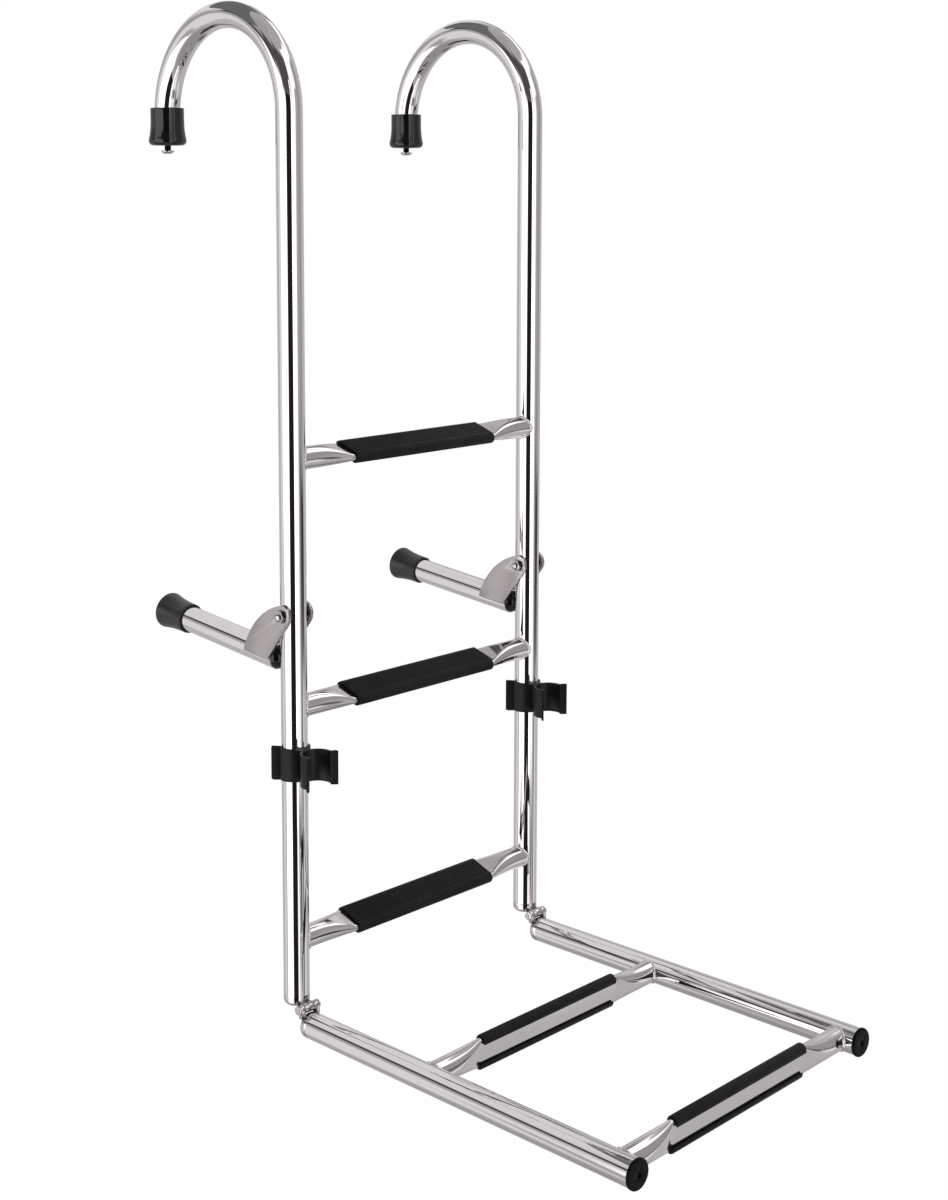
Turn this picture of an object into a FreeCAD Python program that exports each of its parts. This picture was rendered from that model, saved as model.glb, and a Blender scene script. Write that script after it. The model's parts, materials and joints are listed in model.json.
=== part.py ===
"""Folding dock ladder of polished stainless tube, standing on its folded-out foot section.

Two hooked rails carry three rungs, two swinging stand-offs and two double clips. Below them a
second pair of rails with two rungs hangs on knuckle hinges. It folds up into the clips, stands
straight out as here, or hangs down as the foot of the ladder in use.

Frame in millimetres: X across the ladder, +Y towards the dock, +Z up. The floor is z = 0 and the
origin is under the middle of the whole ladder.
"""
import FreeCAD, Part
import math
import os

import Sketcher

# Driving dimensions, one spreadsheet cell each: millimetres, or degrees where the name says angle.
SIZES = {
    # Tube stock
    "rail_diameter": 25.4,
    "rail_wall": 1.2,
    "rung_diameter": 22.0,
    "rung_wall": 1.2,
    # Frame of the two sections
    "rail_spacing": 327.0,
    "rung_1_to_2": 240.0,
    "rung_2_to_3": 232.0,
    "rung_3_to_pin": 63.0,
    "pin_to_rung_4": 164.0,
    "rung_4_to_5": 225.0,
    "rung_5_to_end": 19.0,
    # Hooks
    "rung_1_to_bend": 323.0,
    "hook_radius": 93.5,
    "hook_tip": 24.0,
    "hook_cap_overlap": 8.0,
    "hook_cap_floor": 5.0,
    "hook_cap_radius": 16.6,
    "hook_cap_foot_radius": 18.8,
    "hook_cap_foot_rounding": 5.0,
    "hook_cap_rim_rounding": 1.0,
    "hook_cap_flare": 20.0,
    "hook_cap_flare_radius": 85.0,
    "stud_plate": 2.0,
    "stud_radius": 3.2,
    "stud_neck": 4.8,
    "stud_head_radius": 6.6,
    "stud_head": 3.2,
    # Swaged rungs and their tread pads
    "rung_flat_thickness": 7.0,
    "rung_end_thickness": 21.7,
    "rung_flat_length": 196.0,
    "rung_round_length": 5.0,
    "tread_length": 189.0,
    "tread_wall": 2.4,
    "tread_lip": 6.7,
    "tread_angle": 19.0,
    "foot_tread_angle": 10.0,
    "groove_count": 12,
    "groove_pitch": 1.9,
    "groove_width": 0.9,
    "groove_depth": 0.5,
    # Double clips
    "clip_below_rung_2": 53.2,
    "clip_height": 31.0,
    "clip_lip_height": 33.3,
    "clip_wall": 2.4,
    "clip_grip_angle": 30.0,
    "clip_grip_lip": 9.5,
    "clip_grip_lip_angle": 35.0,
    "clip_socket_angle": 18.0,
    "clip_socket_lip": 7.5,
    "clip_socket_lip_angle": 45.0,
    "clip_neck": 11.0,
    "clip_corner": 2.5,
    "clip_mouth_clearance": 0.35,
    # Knuckle hinges
    "pin_offset": 16.3,
    "pin_radius": 2.5,
    "pin_head_radius": 4.4,
    "pin_head": 1.3,
    "knuckle_radius": 4.5,
    "tongue_width": 11.4,
    "ear_width": 5.5,
    "fitting_head": 10.0,
    "fitting_spigot": 18.0,
    "fitting_rounding": 4.5,
    "butt_gap": 0.4,
    # Stand-offs
    "pivot_below_rung_1": 148.5,
    "standoff_drop": 47.0,
    "standoff_angle": 5.0,
    "standoff_root": 17.0,
    "standoff_reach": 194.5,
    "standoff_cap_length": 37.0,
    "standoff_cap_floor": 5.0,
    "standoff_cap_radius": 15.0,
    "standoff_cap_foot_radius": 18.0,
    "standoff_cap_foot_rounding": 2.0,
    "standoff_cap_rim_rounding": 0.8,
    "standoff_cap_flare": 5.0,
    "standoff_cap_flare_radius": 160.0,
    "bumper_dome_radius": 13.0,
    "bumper_spigot": 14.0,
    "bracket_thickness": 2.5,
    "bracket_tip_radius": 11.0,
    "bracket_edge_angle": 35.0,
    "bracket_near": 17.5,
    "bracket_far": 53.0,
    "bracket_arc_radius": 80.0,
    "bracket_weld_radius": 1.6,
    "bolt_radius": 4.0,
    "bolt_head_radius": 6.5,
    "bolt_head_rim": 2.2,
    "nut_corner_radius": 6.5,
    "nut_height": 3.2,
    "nut_dome_radius": 4.9,
    "bolt_end_height": 6.2,
    # End plugs of the lower rails
    "plug_flange_radius": 13.5,
    "plug_flange": 3.0,
    "plug_spigot": 15.0,
    "plug_dimple_radius": 2.5,
    "plug_dimple": 1.2,
    # Clearances
    "fit_clearance": 0.15,
    "pin_clearance": 0.08,
    "side_clearance": 0.3,
}

document = FreeCAD.newDocument("DockLadder")
sheet = document.addObject("Spreadsheet::Sheet", "Sizes")
for row, (alias, number) in enumerate(SIZES.items(), start=1):
    sheet.set("A%d" % row, alias)
    sheet.set("B%d" % row, str(number))
    sheet.setAlias("B%d" % row, alias)
document.recompute()

# Derived lengths, as expressions on the spreadsheet
RAIL_R = "(Sizes.rail_diameter / 2)"
RAIL_BORE = "(Sizes.rail_diameter / 2 - Sizes.rail_wall)"
SPIGOT_R = "(Sizes.rail_diameter / 2 - Sizes.rail_wall - Sizes.fit_clearance)"
HALF_SPACING = "(Sizes.rail_spacing / 2)"
RUNG_3 = "Sizes.rung_3_to_pin"
RUNG_2 = "(Sizes.rung_3_to_pin + Sizes.rung_2_to_3)"
RUNG_1 = "(Sizes.rung_3_to_pin + Sizes.rung_2_to_3 + Sizes.rung_1_to_2)"
BEND = "(Sizes.rung_3_to_pin + Sizes.rung_2_to_3 + Sizes.rung_1_to_2 + Sizes.rung_1_to_bend)"
PIVOT = "(%s - Sizes.pivot_below_rung_1)" % RUNG_1
CLIP = "(%s - Sizes.clip_below_rung_2)" % RUNG_2
LOWER_END = "(Sizes.pin_to_rung_4 + Sizes.rung_4_to_5 + Sizes.rung_5_to_end)"
TUBE_START = "(Sizes.butt_gap / 2 + Sizes.fitting_head)"
# A swaged tube keeps its girth, so the flat half width follows from the thickness.
FLAT_HALF = "(pi * (Sizes.rung_diameter - Sizes.rung_flat_thickness) / 4)"
END_HALF = "(pi * (Sizes.rung_diameter - Sizes.rung_end_thickness) / 4)"
SEAT_R = "(Sizes.rung_flat_thickness / 2 + Sizes.fit_clearance)"
TREAD_R = "(Sizes.rung_flat_thickness / 2 + Sizes.fit_clearance + Sizes.tread_wall)"

nodes = []


def value(expression):
    """Number that an expression on the spreadsheet has now."""
    result = sheet.evalExpression(str(expression))
    return float(getattr(result, "Value", result))


def new_body(label):
    """Empty body whose label is the name of the piece."""
    body = document.addObject("PartDesign::Body", label)
    body.Label = label
    body.AllowCompound = True
    nodes.append(body)
    return body


def origin_feature(body, role):
    """Origin plane or axis of a body, such as XY_Plane."""
    return next(item for item in body.Origin.OriginFeatures if item.Role == role)


def new_sketch(body, plane, name, offset=None, lean=None):
    """Sketch on an origin plane of its own body.

    The offset moves it along the normal. The lean, in degrees, turns it clockwise about its own X.
    Both are expressions.
    """
    sketch = body.newObject("Sketcher::SketchObject", name)
    sketch.AttachmentSupport = (origin_feature(body, plane), "")
    sketch.MapMode = "FlatFace"
    if offset is not None:
        sketch.AttachmentOffset = FreeCAD.Placement(FreeCAD.Vector(0, 0, value(offset)), FreeCAD.Rotation())
        sketch.setExpression("AttachmentOffset.Base.z", str(offset))
    if lean is not None:
        turn = FreeCAD.Rotation(FreeCAD.Vector(-1, 0, 0), value(lean))
        sketch.AttachmentOffset = FreeCAD.Placement(FreeCAD.Vector(), turn)
        sketch.setExpression("AttachmentOffset.Rotation.Angle", lean + " * 1 deg")
    return sketch


def bind(sketch, kind, elements, expression):
    """Dimension of a sketch, bound to an expression."""
    number = value(expression)
    index = sketch.addConstraint(Sketcher.Constraint(kind, *elements, number))
    name = "size%d" % index
    sketch.renameConstraint(index, name)
    sketch.setExpression("Constraints." + name, str(expression))


def add_circle(sketch, x, y, radius):
    """Circle with bound centre and radius."""
    centre = FreeCAD.Vector(value(x), value(y), 0)
    index = sketch.addGeometry(Part.Circle(centre, FreeCAD.Vector(0, 0, 1), value(radius)))
    bind(sketch, "DistanceX", (-1, 1, index, 3), x)
    bind(sketch, "DistanceY", (-1, 1, index, 3), y)
    bind(sketch, "Radius", (index,), radius)


def add_outline(sketch, corners, closed=True):
    """Lines and arcs through corners, each corner bound to its two expressions.

    A corner is (x, y) or (x, y, radius). The radius bends the side that starts there:
    "+expression" turns it counter-clockwise and "-expression" clockwise, by less than half a turn.
    """
    points = [FreeCAD.Vector(value(corner[0]), value(corner[1]), 0) for corner in corners]
    count = len(corners) if closed else len(corners) - 1
    ends = []
    for index in range(count):
        start = points[index]
        stop = points[(index + 1) % len(points)]
        if len(corners[index]) == 2:
            side = sketch.addGeometry(Part.LineSegment(start, stop))
            ends.append(((side, 1), (side, 2)))
            continue
        turn = corners[index][2]
        radius = value(turn[1:])
        chord = stop - start
        left = FreeCAD.Vector(-chord.y, chord.x, 0).normalize()
        height = math.sqrt(max(radius ** 2 - chord.Length ** 2 / 4, 0))
        way = 1 if turn[0] == "+" else -1
        centre = (start + stop) * 0.5 + left * (height * way)
        first, last = (start, stop) if way > 0 else (stop, start)
        circle = Part.Circle(centre, FreeCAD.Vector(0, 0, 1), radius)
        angles = [math.atan2(point.y - centre.y, point.x - centre.x) for point in (first, last)]
        side = sketch.addGeometry(Part.ArcOfCircle(circle, angles[0], angles[1]))
        ends.append(((side, 1), (side, 2)) if way > 0 else ((side, 2), (side, 1)))
        bind(sketch, "Radius", (side,), turn[1:])
    for index in range(count):
        bind(sketch, "DistanceX", (-1, 1, *ends[index][0]), corners[index][0])
        bind(sketch, "DistanceY", (-1, 1, *ends[index][0]), corners[index][1])
        if closed or index < count - 1:
            following = ends[(index + 1) % count][0]
            sketch.addConstraint(Sketcher.Constraint("Coincident", *ends[index][1], *following))
    if not closed:
        bind(sketch, "DistanceX", (-1, 1, *ends[-1][1]), corners[-1][0])
        bind(sketch, "DistanceY", (-1, 1, *ends[-1][1]), corners[-1][1])


def extrude(body, kind, sketch, name, length=None, middle=True, reverse=False):
    """Pad or Pocket of a sketch, through all where no length is given."""
    feature = body.newObject("PartDesign::" + kind, name)
    feature.Profile = sketch
    if middle:
        feature.SideType = "Symmetric"
    feature.Reversed = reverse
    if length is None:
        feature.Type = "ThroughAll"
    else:
        feature.setExpression("Length", str(length))
    sketch.Visibility = False
    return feature


def revolve(body, sketch, name, axis="V_Axis"):
    """Full turn of a sketch about one of its own axes."""
    feature = body.newObject("PartDesign::Revolution", name)
    feature.Profile = sketch
    feature.ReferenceAxis = (sketch, [axis])
    feature.Angle = 360
    return feature


def mirror(body, features, plane, name):
    """Mirror image of features across an origin plane of their body."""
    feature = body.newObject("PartDesign::Mirrored", name)
    feature.Originals = features
    feature.MirrorPlane = (origin_feature(body, plane), [""])
    body.Tip = feature
    return feature


def hook_path(body, start, tip):
    """Centre line of a hooked rail in the YZ plane: up, half round towards +Y, and down."""
    path = new_sketch(body, "YZ_Plane", "centre_line")
    add_outline(path, [
        ("0", start),
        ("0", BEND, "-Sizes.hook_radius"),
        ("Sizes.hook_radius", BEND + " + Sizes.hook_radius", "-Sizes.hook_radius"),
        ("2 * Sizes.hook_radius", BEND),
        ("2 * Sizes.hook_radius", "%s - %s" % (BEND, tip)),
    ], closed=False)
    path.Visibility = False
    return path


def build_upper_rail(label):
    """Hooked rail: one tube from the hinge fitting round the hook, cross-drilled for its bolt."""
    body = new_body(label)
    path = hook_path(body, TUBE_START, "Sizes.hook_tip")
    section = new_sketch(body, "XY_Plane", "tube_section", TUBE_START)
    add_circle(section, "0", "0", RAIL_R)
    add_circle(section, "0", "0", RAIL_BORE)
    tube = body.newObject("PartDesign::AdditivePipe", "tube")
    tube.Profile = section
    tube.Spine = (path, ["Edge1", "Edge2", "Edge3", "Edge4"])
    hole = new_sketch(body, "YZ_Plane", "bolt_hole")
    add_circle(hole, "0", PIVOT, "Sizes.bolt_radius + Sizes.fit_clearance")
    extrude(body, "Pocket", hole, "bolt_drilling")
    return body


def build_lower_rail(label):
    """Straight rail of the foot section, in the hanging position with the pin plane at z = 0."""
    body = new_body(label)
    section = new_sketch(body, "XY_Plane", "tube_section", "-" + TUBE_START)
    add_circle(section, "0", "0", RAIL_R)
    add_circle(section, "0", "0", RAIL_BORE)
    extrude(body, "Pad", section, "tube", "%s - %s" % (LOWER_END, TUBE_START), middle=False, reverse=True)
    return body


def flat_section(sketch, half, radius):
    """Flattened tube outline: two straight sides joined by round edges."""
    add_outline(sketch, [
        (half, radius),
        ("-" + half, radius, "+" + radius),
        ("-%s - %s" % (half, radius), "0", "+" + radius),
        ("-" + half, "-" + radius),
        (half, "-" + radius, "+" + radius),
        ("%s + %s" % (half, radius), "0", "+" + radius),
    ])


def build_rung(label, lean):
    """Rung tube, pressed flat in the middle and coped round the rails at both ends.

    The flat sides taper to a point at each rail, like a leaf, because the tube keeps its girth.
    The flat lies level here. The body leans forward as a whole when it is placed, so the copes are
    cut along rails that lean back by the same angle.
    """
    body = new_body(label)
    flat_end = "(Sizes.rung_flat_length / 2)"
    round_end = "(Sizes.rail_spacing / 2 - Sizes.rail_diameter / 2 - Sizes.rung_round_length)"
    outer = ("(Sizes.rung_flat_thickness / 2)", "(Sizes.rung_end_thickness / 2)")
    inner = tuple("(%s - Sizes.rung_wall)" % radius for radius in outer)
    for name, kind, radii in (("outside", "Additive", outer), ("bore", "Subtractive", inner)):
        flat = new_sketch(body, "YZ_Plane", name + "_flat", flat_end)
        flat_section(flat, FLAT_HALF, radii[0])
        middle = new_sketch(body, "YZ_Plane", name + "_middle")
        flat_section(middle, FLAT_HALF, radii[0])
        whole = new_sketch(body, "YZ_Plane", name + "_round", round_end)
        flat_section(whole, END_HALF, radii[1])
        end = new_sketch(body, "YZ_Plane", name + "_end", round_end)
        flat_section(end, END_HALF, radii[1])
        straight = {"Additive": "Pad", "Subtractive": "Pocket"}[kind]
        extrude(body, straight, middle, name + "_strip", "Sizes.rung_flat_length")
        swage = body.newObject("PartDesign::%sLoft" % kind, name + "_swage")
        swage.Profile = flat
        swage.Sections = [whole]
        swage.Ruled = True
        length = "%s - %s" % (HALF_SPACING, round_end)
        inward = kind == "Subtractive"
        stub = extrude(body, straight, end, name + "_stub", length, middle=False, reverse=inward)
        mirror(body, [swage, stub], "YZ_Plane", name + "_far_side")
    cope = new_sketch(body, "XY_Plane", "rail_copes", lean=lean)
    for sign in ("", "-"):
        add_circle(cope, sign + HALF_SPACING, "0", RAIL_R)
    extrude(body, "Pocket", cope, "coping")
    return body


def build_tread(label):
    """Rubber tread: a ribbed channel that wraps the flat of its rung from above."""
    body = new_body(label)
    lip = "(%s + %s - Sizes.tread_lip)" % (FLAT_HALF, TREAD_R)
    section = new_sketch(body, "YZ_Plane", "channel")
    out_turn = "+" + TREAD_R
    in_turn = "-" + SEAT_R
    add_outline(section, [
        (lip, "-" + TREAD_R),
        (FLAT_HALF, "-" + TREAD_R, out_turn),
        ("%s + %s" % (FLAT_HALF, TREAD_R), "0", out_turn),
        (FLAT_HALF, TREAD_R),
        ("-" + FLAT_HALF, TREAD_R, out_turn),
        ("-%s - %s" % (FLAT_HALF, TREAD_R), "0", out_turn),
        ("-" + FLAT_HALF, "-" + TREAD_R),
        ("-" + lip, "-" + TREAD_R),
        ("-" + lip, "-" + SEAT_R),
        ("-" + FLAT_HALF, "-" + SEAT_R, in_turn),
        ("-%s - %s" % (FLAT_HALF, SEAT_R), "0", in_turn),
        ("-" + FLAT_HALF, SEAT_R),
        (FLAT_HALF, SEAT_R, in_turn),
        ("%s + %s" % (FLAT_HALF, SEAT_R), "0", in_turn),
        (FLAT_HALF, "-" + SEAT_R),
        (lip, "-" + SEAT_R),
    ])
    extrude(body, "Pad", section, "channel_strip", "Sizes.tread_length")
    span = "(Sizes.groove_pitch * (Sizes.groove_count - 1))"
    near = "-%s / 2 - Sizes.groove_width / 2" % span
    far = "-%s / 2 + Sizes.groove_width / 2" % span
    floor = TREAD_R + " - Sizes.groove_depth"
    above = TREAD_R + " + Sizes.groove_depth"
    groove = new_sketch(body, "YZ_Plane", "groove_outline")
    add_outline(groove, [(near, floor), (far, floor), (far, above), (near, above)])
    first = extrude(body, "Pocket", groove, "first_groove")
    grooves = body.newObject("PartDesign::LinearPattern", "grooves")
    grooves.Originals = [first]
    grooves.Direction = (origin_feature(body, "Y_Axis"), [""])
    grooves.setExpression("Length", span)
    grooves.setExpression("Occurrences", "Sizes.groove_count")
    body.Tip = grooves
    return body


def build_hook_cap(label):
    """Rubber foot of a hook: flared, closed below, bored to follow the end of the bend."""
    body = new_body(label)
    foot = "-Sizes.hook_cap_floor"
    top = "(Sizes.hook_tip + Sizes.hook_cap_overlap)"
    rounding = "Sizes.hook_cap_foot_rounding"
    rim = "Sizes.hook_cap_rim_rounding"
    profile = new_sketch(body, "XZ_Plane", "outline")
    add_outline(profile, [
        ("0", foot),
        ("Sizes.hook_cap_foot_radius - " + rounding, foot, "+" + rounding),
        ("Sizes.hook_cap_foot_radius", "%s + %s" % (foot, rounding), "-Sizes.hook_cap_flare_radius"),
        ("Sizes.hook_cap_radius", "Sizes.hook_cap_flare"),
        ("Sizes.hook_cap_radius", "%s - %s" % (top, rim), "+" + rim),
        ("Sizes.hook_cap_radius - " + rim, top),
        ("0", top),
    ])
    revolve(body, profile, "outside")
    path = new_sketch(body, "YZ_Plane", "bore_line")
    add_outline(path, [
        ("0", "0"),
        ("0", "Sizes.hook_tip", "+Sizes.hook_radius"),
        ("-Sizes.hook_radius * (1 - sqrt(0.75))", "Sizes.hook_tip + Sizes.hook_radius / 2"),
    ], closed=False)
    section = new_sketch(body, "XY_Plane", "bore_section")
    add_circle(section, "0", "0", RAIL_R + " + Sizes.fit_clearance")
    bore = body.newObject("PartDesign::SubtractivePipe", "bore")
    bore.Profile = section
    bore.Spine = (path, ["Edge1", "Edge2"])
    hole = new_sketch(body, "XY_Plane", "stud_hole", foot)
    add_circle(hole, "0", "0", "Sizes.stud_radius + Sizes.fit_clearance")
    extrude(body, "Pocket", hole, "stud_way", "2 * Sizes.hook_cap_floor")
    return body


def build_hook_stud(label):
    """Mushroom-headed stud below a hook, with the plate that closes the tube's end."""
    body = new_body(label)
    neck_end = "(-Sizes.hook_cap_floor - Sizes.stud_neck)"
    head_end = "(-Sizes.hook_cap_floor - Sizes.stud_neck - Sizes.stud_head)"
    profile = new_sketch(body, "XZ_Plane", "outline")
    add_outline(profile, [
        ("0", "Sizes.stud_plate"),
        (SPIGOT_R, "Sizes.stud_plate"),
        (SPIGOT_R, "0"),
        ("Sizes.stud_radius", "0"),
        ("Sizes.stud_radius", neck_end),
        ("Sizes.stud_head_radius", neck_end),
        ("Sizes.stud_head_radius", neck_end + " - Sizes.stud_head / 3"),
        ("Sizes.stud_head_radius * 0.6", head_end),
        ("0", head_end),
    ])
    revolve(body, profile, "turned")
    return body


def add_corner(sketch, x, z, side_x, side_z, radius):
    """Outline of what rounding removes at one corner of a plate, with room beyond both edges."""
    sign_x = "" if side_x > 0 else "-"
    sign_z = "" if side_z > 0 else "-"
    turn = ("+" if side_x == side_z else "-") + radius
    add_outline(sketch, [
        (sign_x + x, "%s(%s - %s)" % (sign_z, z, radius), turn),
        ("%s(%s - %s)" % (sign_x, x, radius), sign_z + z),
        ("%s(%s - %s)" % (sign_x, x, radius), "%s(%s + %s)" % (sign_z, z, radius)),
        ("%s(%s + %s)" % (sign_x, x, radius), "%s(%s + %s)" % (sign_z, z, radius)),
        ("%s(%s + %s)" % (sign_x, x, radius), "%s(%s - %s)" % (sign_z, z, radius)),
    ])


def build_clip(label):
    """Double clip: a gripping ring round the upper rail and an open ring for the folded one.

    Each ring opens through two flared lips. The open ring is wider than the rail, so the rail still
    passes between its arms, which reach a little past the widest point.
    """
    body = new_body(label)
    grip = "(%s + Sizes.fit_clearance)" % RAIL_R
    grip_out = "(%s + Sizes.clip_wall)" % grip
    socket = "((%s + Sizes.clip_mouth_clearance) / cos(Sizes.clip_socket_angle * 1 deg))" % RAIL_R
    socket_out = "(%s + Sizes.clip_wall)" % socket
    centre = "(-2 * Sizes.pin_offset)"
    rings = new_sketch(body, "XY_Plane", "grip_ring")
    add_circle(rings, "0", "0", grip_out)
    extrude(body, "Pad", rings, "grip", "Sizes.clip_height")
    ring = new_sketch(body, "XY_Plane", "socket_ring")
    add_circle(ring, "0", centre, socket_out)
    extrude(body, "Pad", ring, "socket", "Sizes.clip_height")
    neck = new_sketch(body, "XY_Plane", "neck_plate")
    add_outline(neck, [
        ("-Sizes.clip_neck / 2", centre),
        ("Sizes.clip_neck / 2", centre),
        ("Sizes.clip_neck / 2", "0"),
        ("-Sizes.clip_neck / 2", "0"),
    ])
    extrude(body, "Pad", neck, "neck", "Sizes.clip_height")
    lips = []
    openings = []
    for name, ring_y, bore, rim, on, back in (
            ("grip", "0", grip, grip_out, "+", "-"),
            ("socket", centre, socket, socket_out, "-", "+")):
        angle = "(Sizes.clip_%s_angle * 1 deg)" % name
        length = "Sizes.clip_%s_lip" % name
        flare = "(Sizes.clip_%s_lip_angle * 1 deg)" % name
        in_x = "(%s * cos%s)" % (bore, angle)
        in_y = "(%s %s %s * sin%s)" % (ring_y, on, bore, angle)
        out_x = "(%s * cos%s)" % (rim, angle)
        out_y = "(%s %s %s * sin%s)" % (ring_y, on, rim, angle)
        tip_x = "(%s + %s * sin%s)" % (in_x, length, flare)
        tip_y = "(%s %s %s * cos%s)" % (in_y, on, length, flare)
        edge_x = "(%s + Sizes.clip_wall * cos%s)" % (tip_x, flare)
        edge_y = "(%s %s Sizes.clip_wall * sin%s)" % (tip_y, back, flare)
        lip = new_sketch(body, "XY_Plane", name + "_lip")
        add_outline(lip, [(in_x, in_y), (tip_x, tip_y), (edge_x, edge_y), (out_x, out_y)])
        lips.append(extrude(body, "Pad", lip, name + "_flare", "Sizes.clip_lip_height"))
        far_x = "(%s + 3 * %s * sin%s)" % (in_x, length, flare)
        far_y = "(%s %s 3 * %s * cos%s)" % (in_y, on, length, flare)
        mouth = [("-" + in_x, in_y), (in_x, in_y), (far_x, far_y), ("-" + far_x, far_y)]
        openings.append((name, ring_y, bore, mouth, edge_x))
    mirror(body, lips, "YZ_Plane", "other_lips")
    for name, ring_y, bore, mouth, edge_x in openings:
        well = new_sketch(body, "XY_Plane", name + "_opening")
        add_circle(well, "0", ring_y, bore)
        extrude(body, "Pocket", well, name + "_bore")
        way_in = new_sketch(body, "XY_Plane", name + "_mouth")
        add_outline(way_in, mouth)
        extrude(body, "Pocket", way_in, name + "_way")
        corners = new_sketch(body, "XZ_Plane", name + "_lip_corners")
        for side_x, side_z in ((1, 1), (-1, 1), (-1, -1), (1, -1)):
            add_corner(corners, edge_x, "(Sizes.clip_lip_height / 2)", side_x, side_z, "Sizes.clip_corner")
        extrude(body, "Pocket", corners, name + "_lip_rounding", middle=False, reverse=name == "socket")
    return body


def build_hinge_fitting(label, down):
    """Hinge fitting in a rail's end: the tongue of the upper rail or the fork of the lower one.

    The pin plane is z = 0 and the rail's axis is x = y = 0, in the hanging position.
    """
    body = new_body(label)
    way = "-" if down else ""
    face = "%sSizes.butt_gap / 2" % way
    rounded = "%s(Sizes.butt_gap / 2 + Sizes.fitting_rounding)" % way
    shoulder = "%s%s" % (way, TUBE_START)
    spigot_end = "%s(%s + Sizes.fitting_spigot)" % (way, TUBE_START)
    turn = ("-" if down else "+") + "Sizes.fitting_rounding"
    profile = new_sketch(body, "XZ_Plane", "outline")
    add_outline(profile, [
        ("0", face),
        (RAIL_R + " - Sizes.fitting_rounding", face, turn),
        (RAIL_R, rounded),
        (RAIL_R, shoulder),
        (SPIGOT_R, shoulder),
        (SPIGOT_R, spigot_end),
        ("0", spigot_end),
    ])
    revolve(body, profile, "head")
    pin_y = "-Sizes.pin_offset"
    root_y = "-Sizes.rail_diameter / 3"
    far = "%sSizes.knuckle_radius" % way
    tongue = "(Sizes.tongue_width)"
    ear = "(Sizes.ear_width)"
    offset = None
    if down:
        offset = "Sizes.tongue_width / 2 + Sizes.side_clearance"
    web = new_sketch(body, "YZ_Plane", "web_outline", offset)
    add_outline(web, [
        (root_y, face),
        (root_y, far),
        (pin_y, far),
        (pin_y, face),
    ])
    eye = new_sketch(body, "YZ_Plane", "eye_outline", offset)
    add_circle(eye, pin_y, "0", "Sizes.knuckle_radius")
    width = ear if down else tongue
    pads = [extrude(body, "Pad", outline, name, width, middle=not down)
            for outline, name in ((web, "web"), (eye, "knuckle"))]
    if down:
        mirror(body, pads, "YZ_Plane", "other_ear")
    hole = new_sketch(body, "YZ_Plane", "pin_hole")
    add_circle(hole, pin_y, "0", "Sizes.pin_radius + Sizes.pin_clearance")
    extrude(body, "Pocket", hole, "pin_bore")
    return body


def build_hinge_pin(label):
    """Headed hinge pin, along X about the origin."""
    body = new_body(label)
    length = "(Sizes.tongue_width + 2 * Sizes.side_clearance + 2 * Sizes.ear_width)"
    shank = new_sketch(body, "YZ_Plane", "shank_circle")
    add_circle(shank, "0", "0", "Sizes.pin_radius")
    extrude(body, "Pad", shank, "shank", length + " + 2 * Sizes.pin_head")
    head = new_sketch(body, "YZ_Plane", "head_circle", length + " / 2")
    add_circle(head, "0", "0", "Sizes.pin_head_radius")
    disc = extrude(body, "Pad", head, "head", "Sizes.pin_head", middle=False)
    mirror(body, [disc], "YZ_Plane", "other_head")
    return body


def build_end_plug(label):
    """Plastic plug in a lower rail's end, with a dimple in its face; the tube ends at z = 0."""
    body = new_body(label)
    rounding = "(Sizes.plug_flange / 2)"
    profile = new_sketch(body, "XZ_Plane", "outline")
    add_outline(profile, [
        ("0", "Sizes.plug_spigot"),
        (SPIGOT_R, "Sizes.plug_spigot"),
        (SPIGOT_R, "0"),
        ("Sizes.plug_flange_radius", "0"),
        ("Sizes.plug_flange_radius", "-%s" % rounding, "-" + rounding),
        ("Sizes.plug_flange_radius - %s" % rounding, "-Sizes.plug_flange"),
        ("Sizes.plug_dimple_radius", "-Sizes.plug_flange"),
        ("Sizes.plug_dimple_radius", "Sizes.plug_dimple - Sizes.plug_flange"),
        ("0", "Sizes.plug_dimple - Sizes.plug_flange"),
    ])
    revolve(body, profile, "moulding")
    return body


def build_standoff_tube(label):
    """Short stand-off tube along +Y below its pivot, which is the origin."""
    body = new_body(label)
    section = new_sketch(body, "XZ_Plane", "tube_section", "-Sizes.standoff_root")
    add_circle(section, "0", "-Sizes.standoff_drop", RAIL_R)
    add_circle(section, "0", "-Sizes.standoff_drop", RAIL_BORE)
    length = "Sizes.standoff_reach - Sizes.standoff_cap_floor - Sizes.standoff_root"
    extrude(body, "Pad", section, "tube", length, middle=False, reverse=True)
    return body


def build_standoff_cap(label):
    """Flared rubber cap of a stand-off, about its own axis with the open rim at z = 0."""
    body = new_body(label)
    end = "Sizes.standoff_cap_length"
    floor = "(Sizes.standoff_cap_length - Sizes.standoff_cap_floor)"
    rounding = "Sizes.standoff_cap_foot_rounding"
    rim = "Sizes.standoff_cap_rim_rounding"
    bore = "(%s + Sizes.fit_clearance)" % RAIL_R
    profile = new_sketch(body, "XZ_Plane", "outline")
    add_outline(profile, [
        (bore, "0"),
        ("Sizes.standoff_cap_radius - " + rim, "0", "+" + rim),
        ("Sizes.standoff_cap_radius", rim),
        ("Sizes.standoff_cap_radius", "Sizes.standoff_cap_flare", "-Sizes.standoff_cap_flare_radius"),
        ("Sizes.standoff_cap_foot_radius", "%s - %s" % (end, rounding), "+" + rounding),
        ("Sizes.standoff_cap_foot_radius - " + rounding, end),
        ("0", end),
        ("0", floor),
        (bore, floor),
    ])
    revolve(body, profile, "moulding")
    return body


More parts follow.
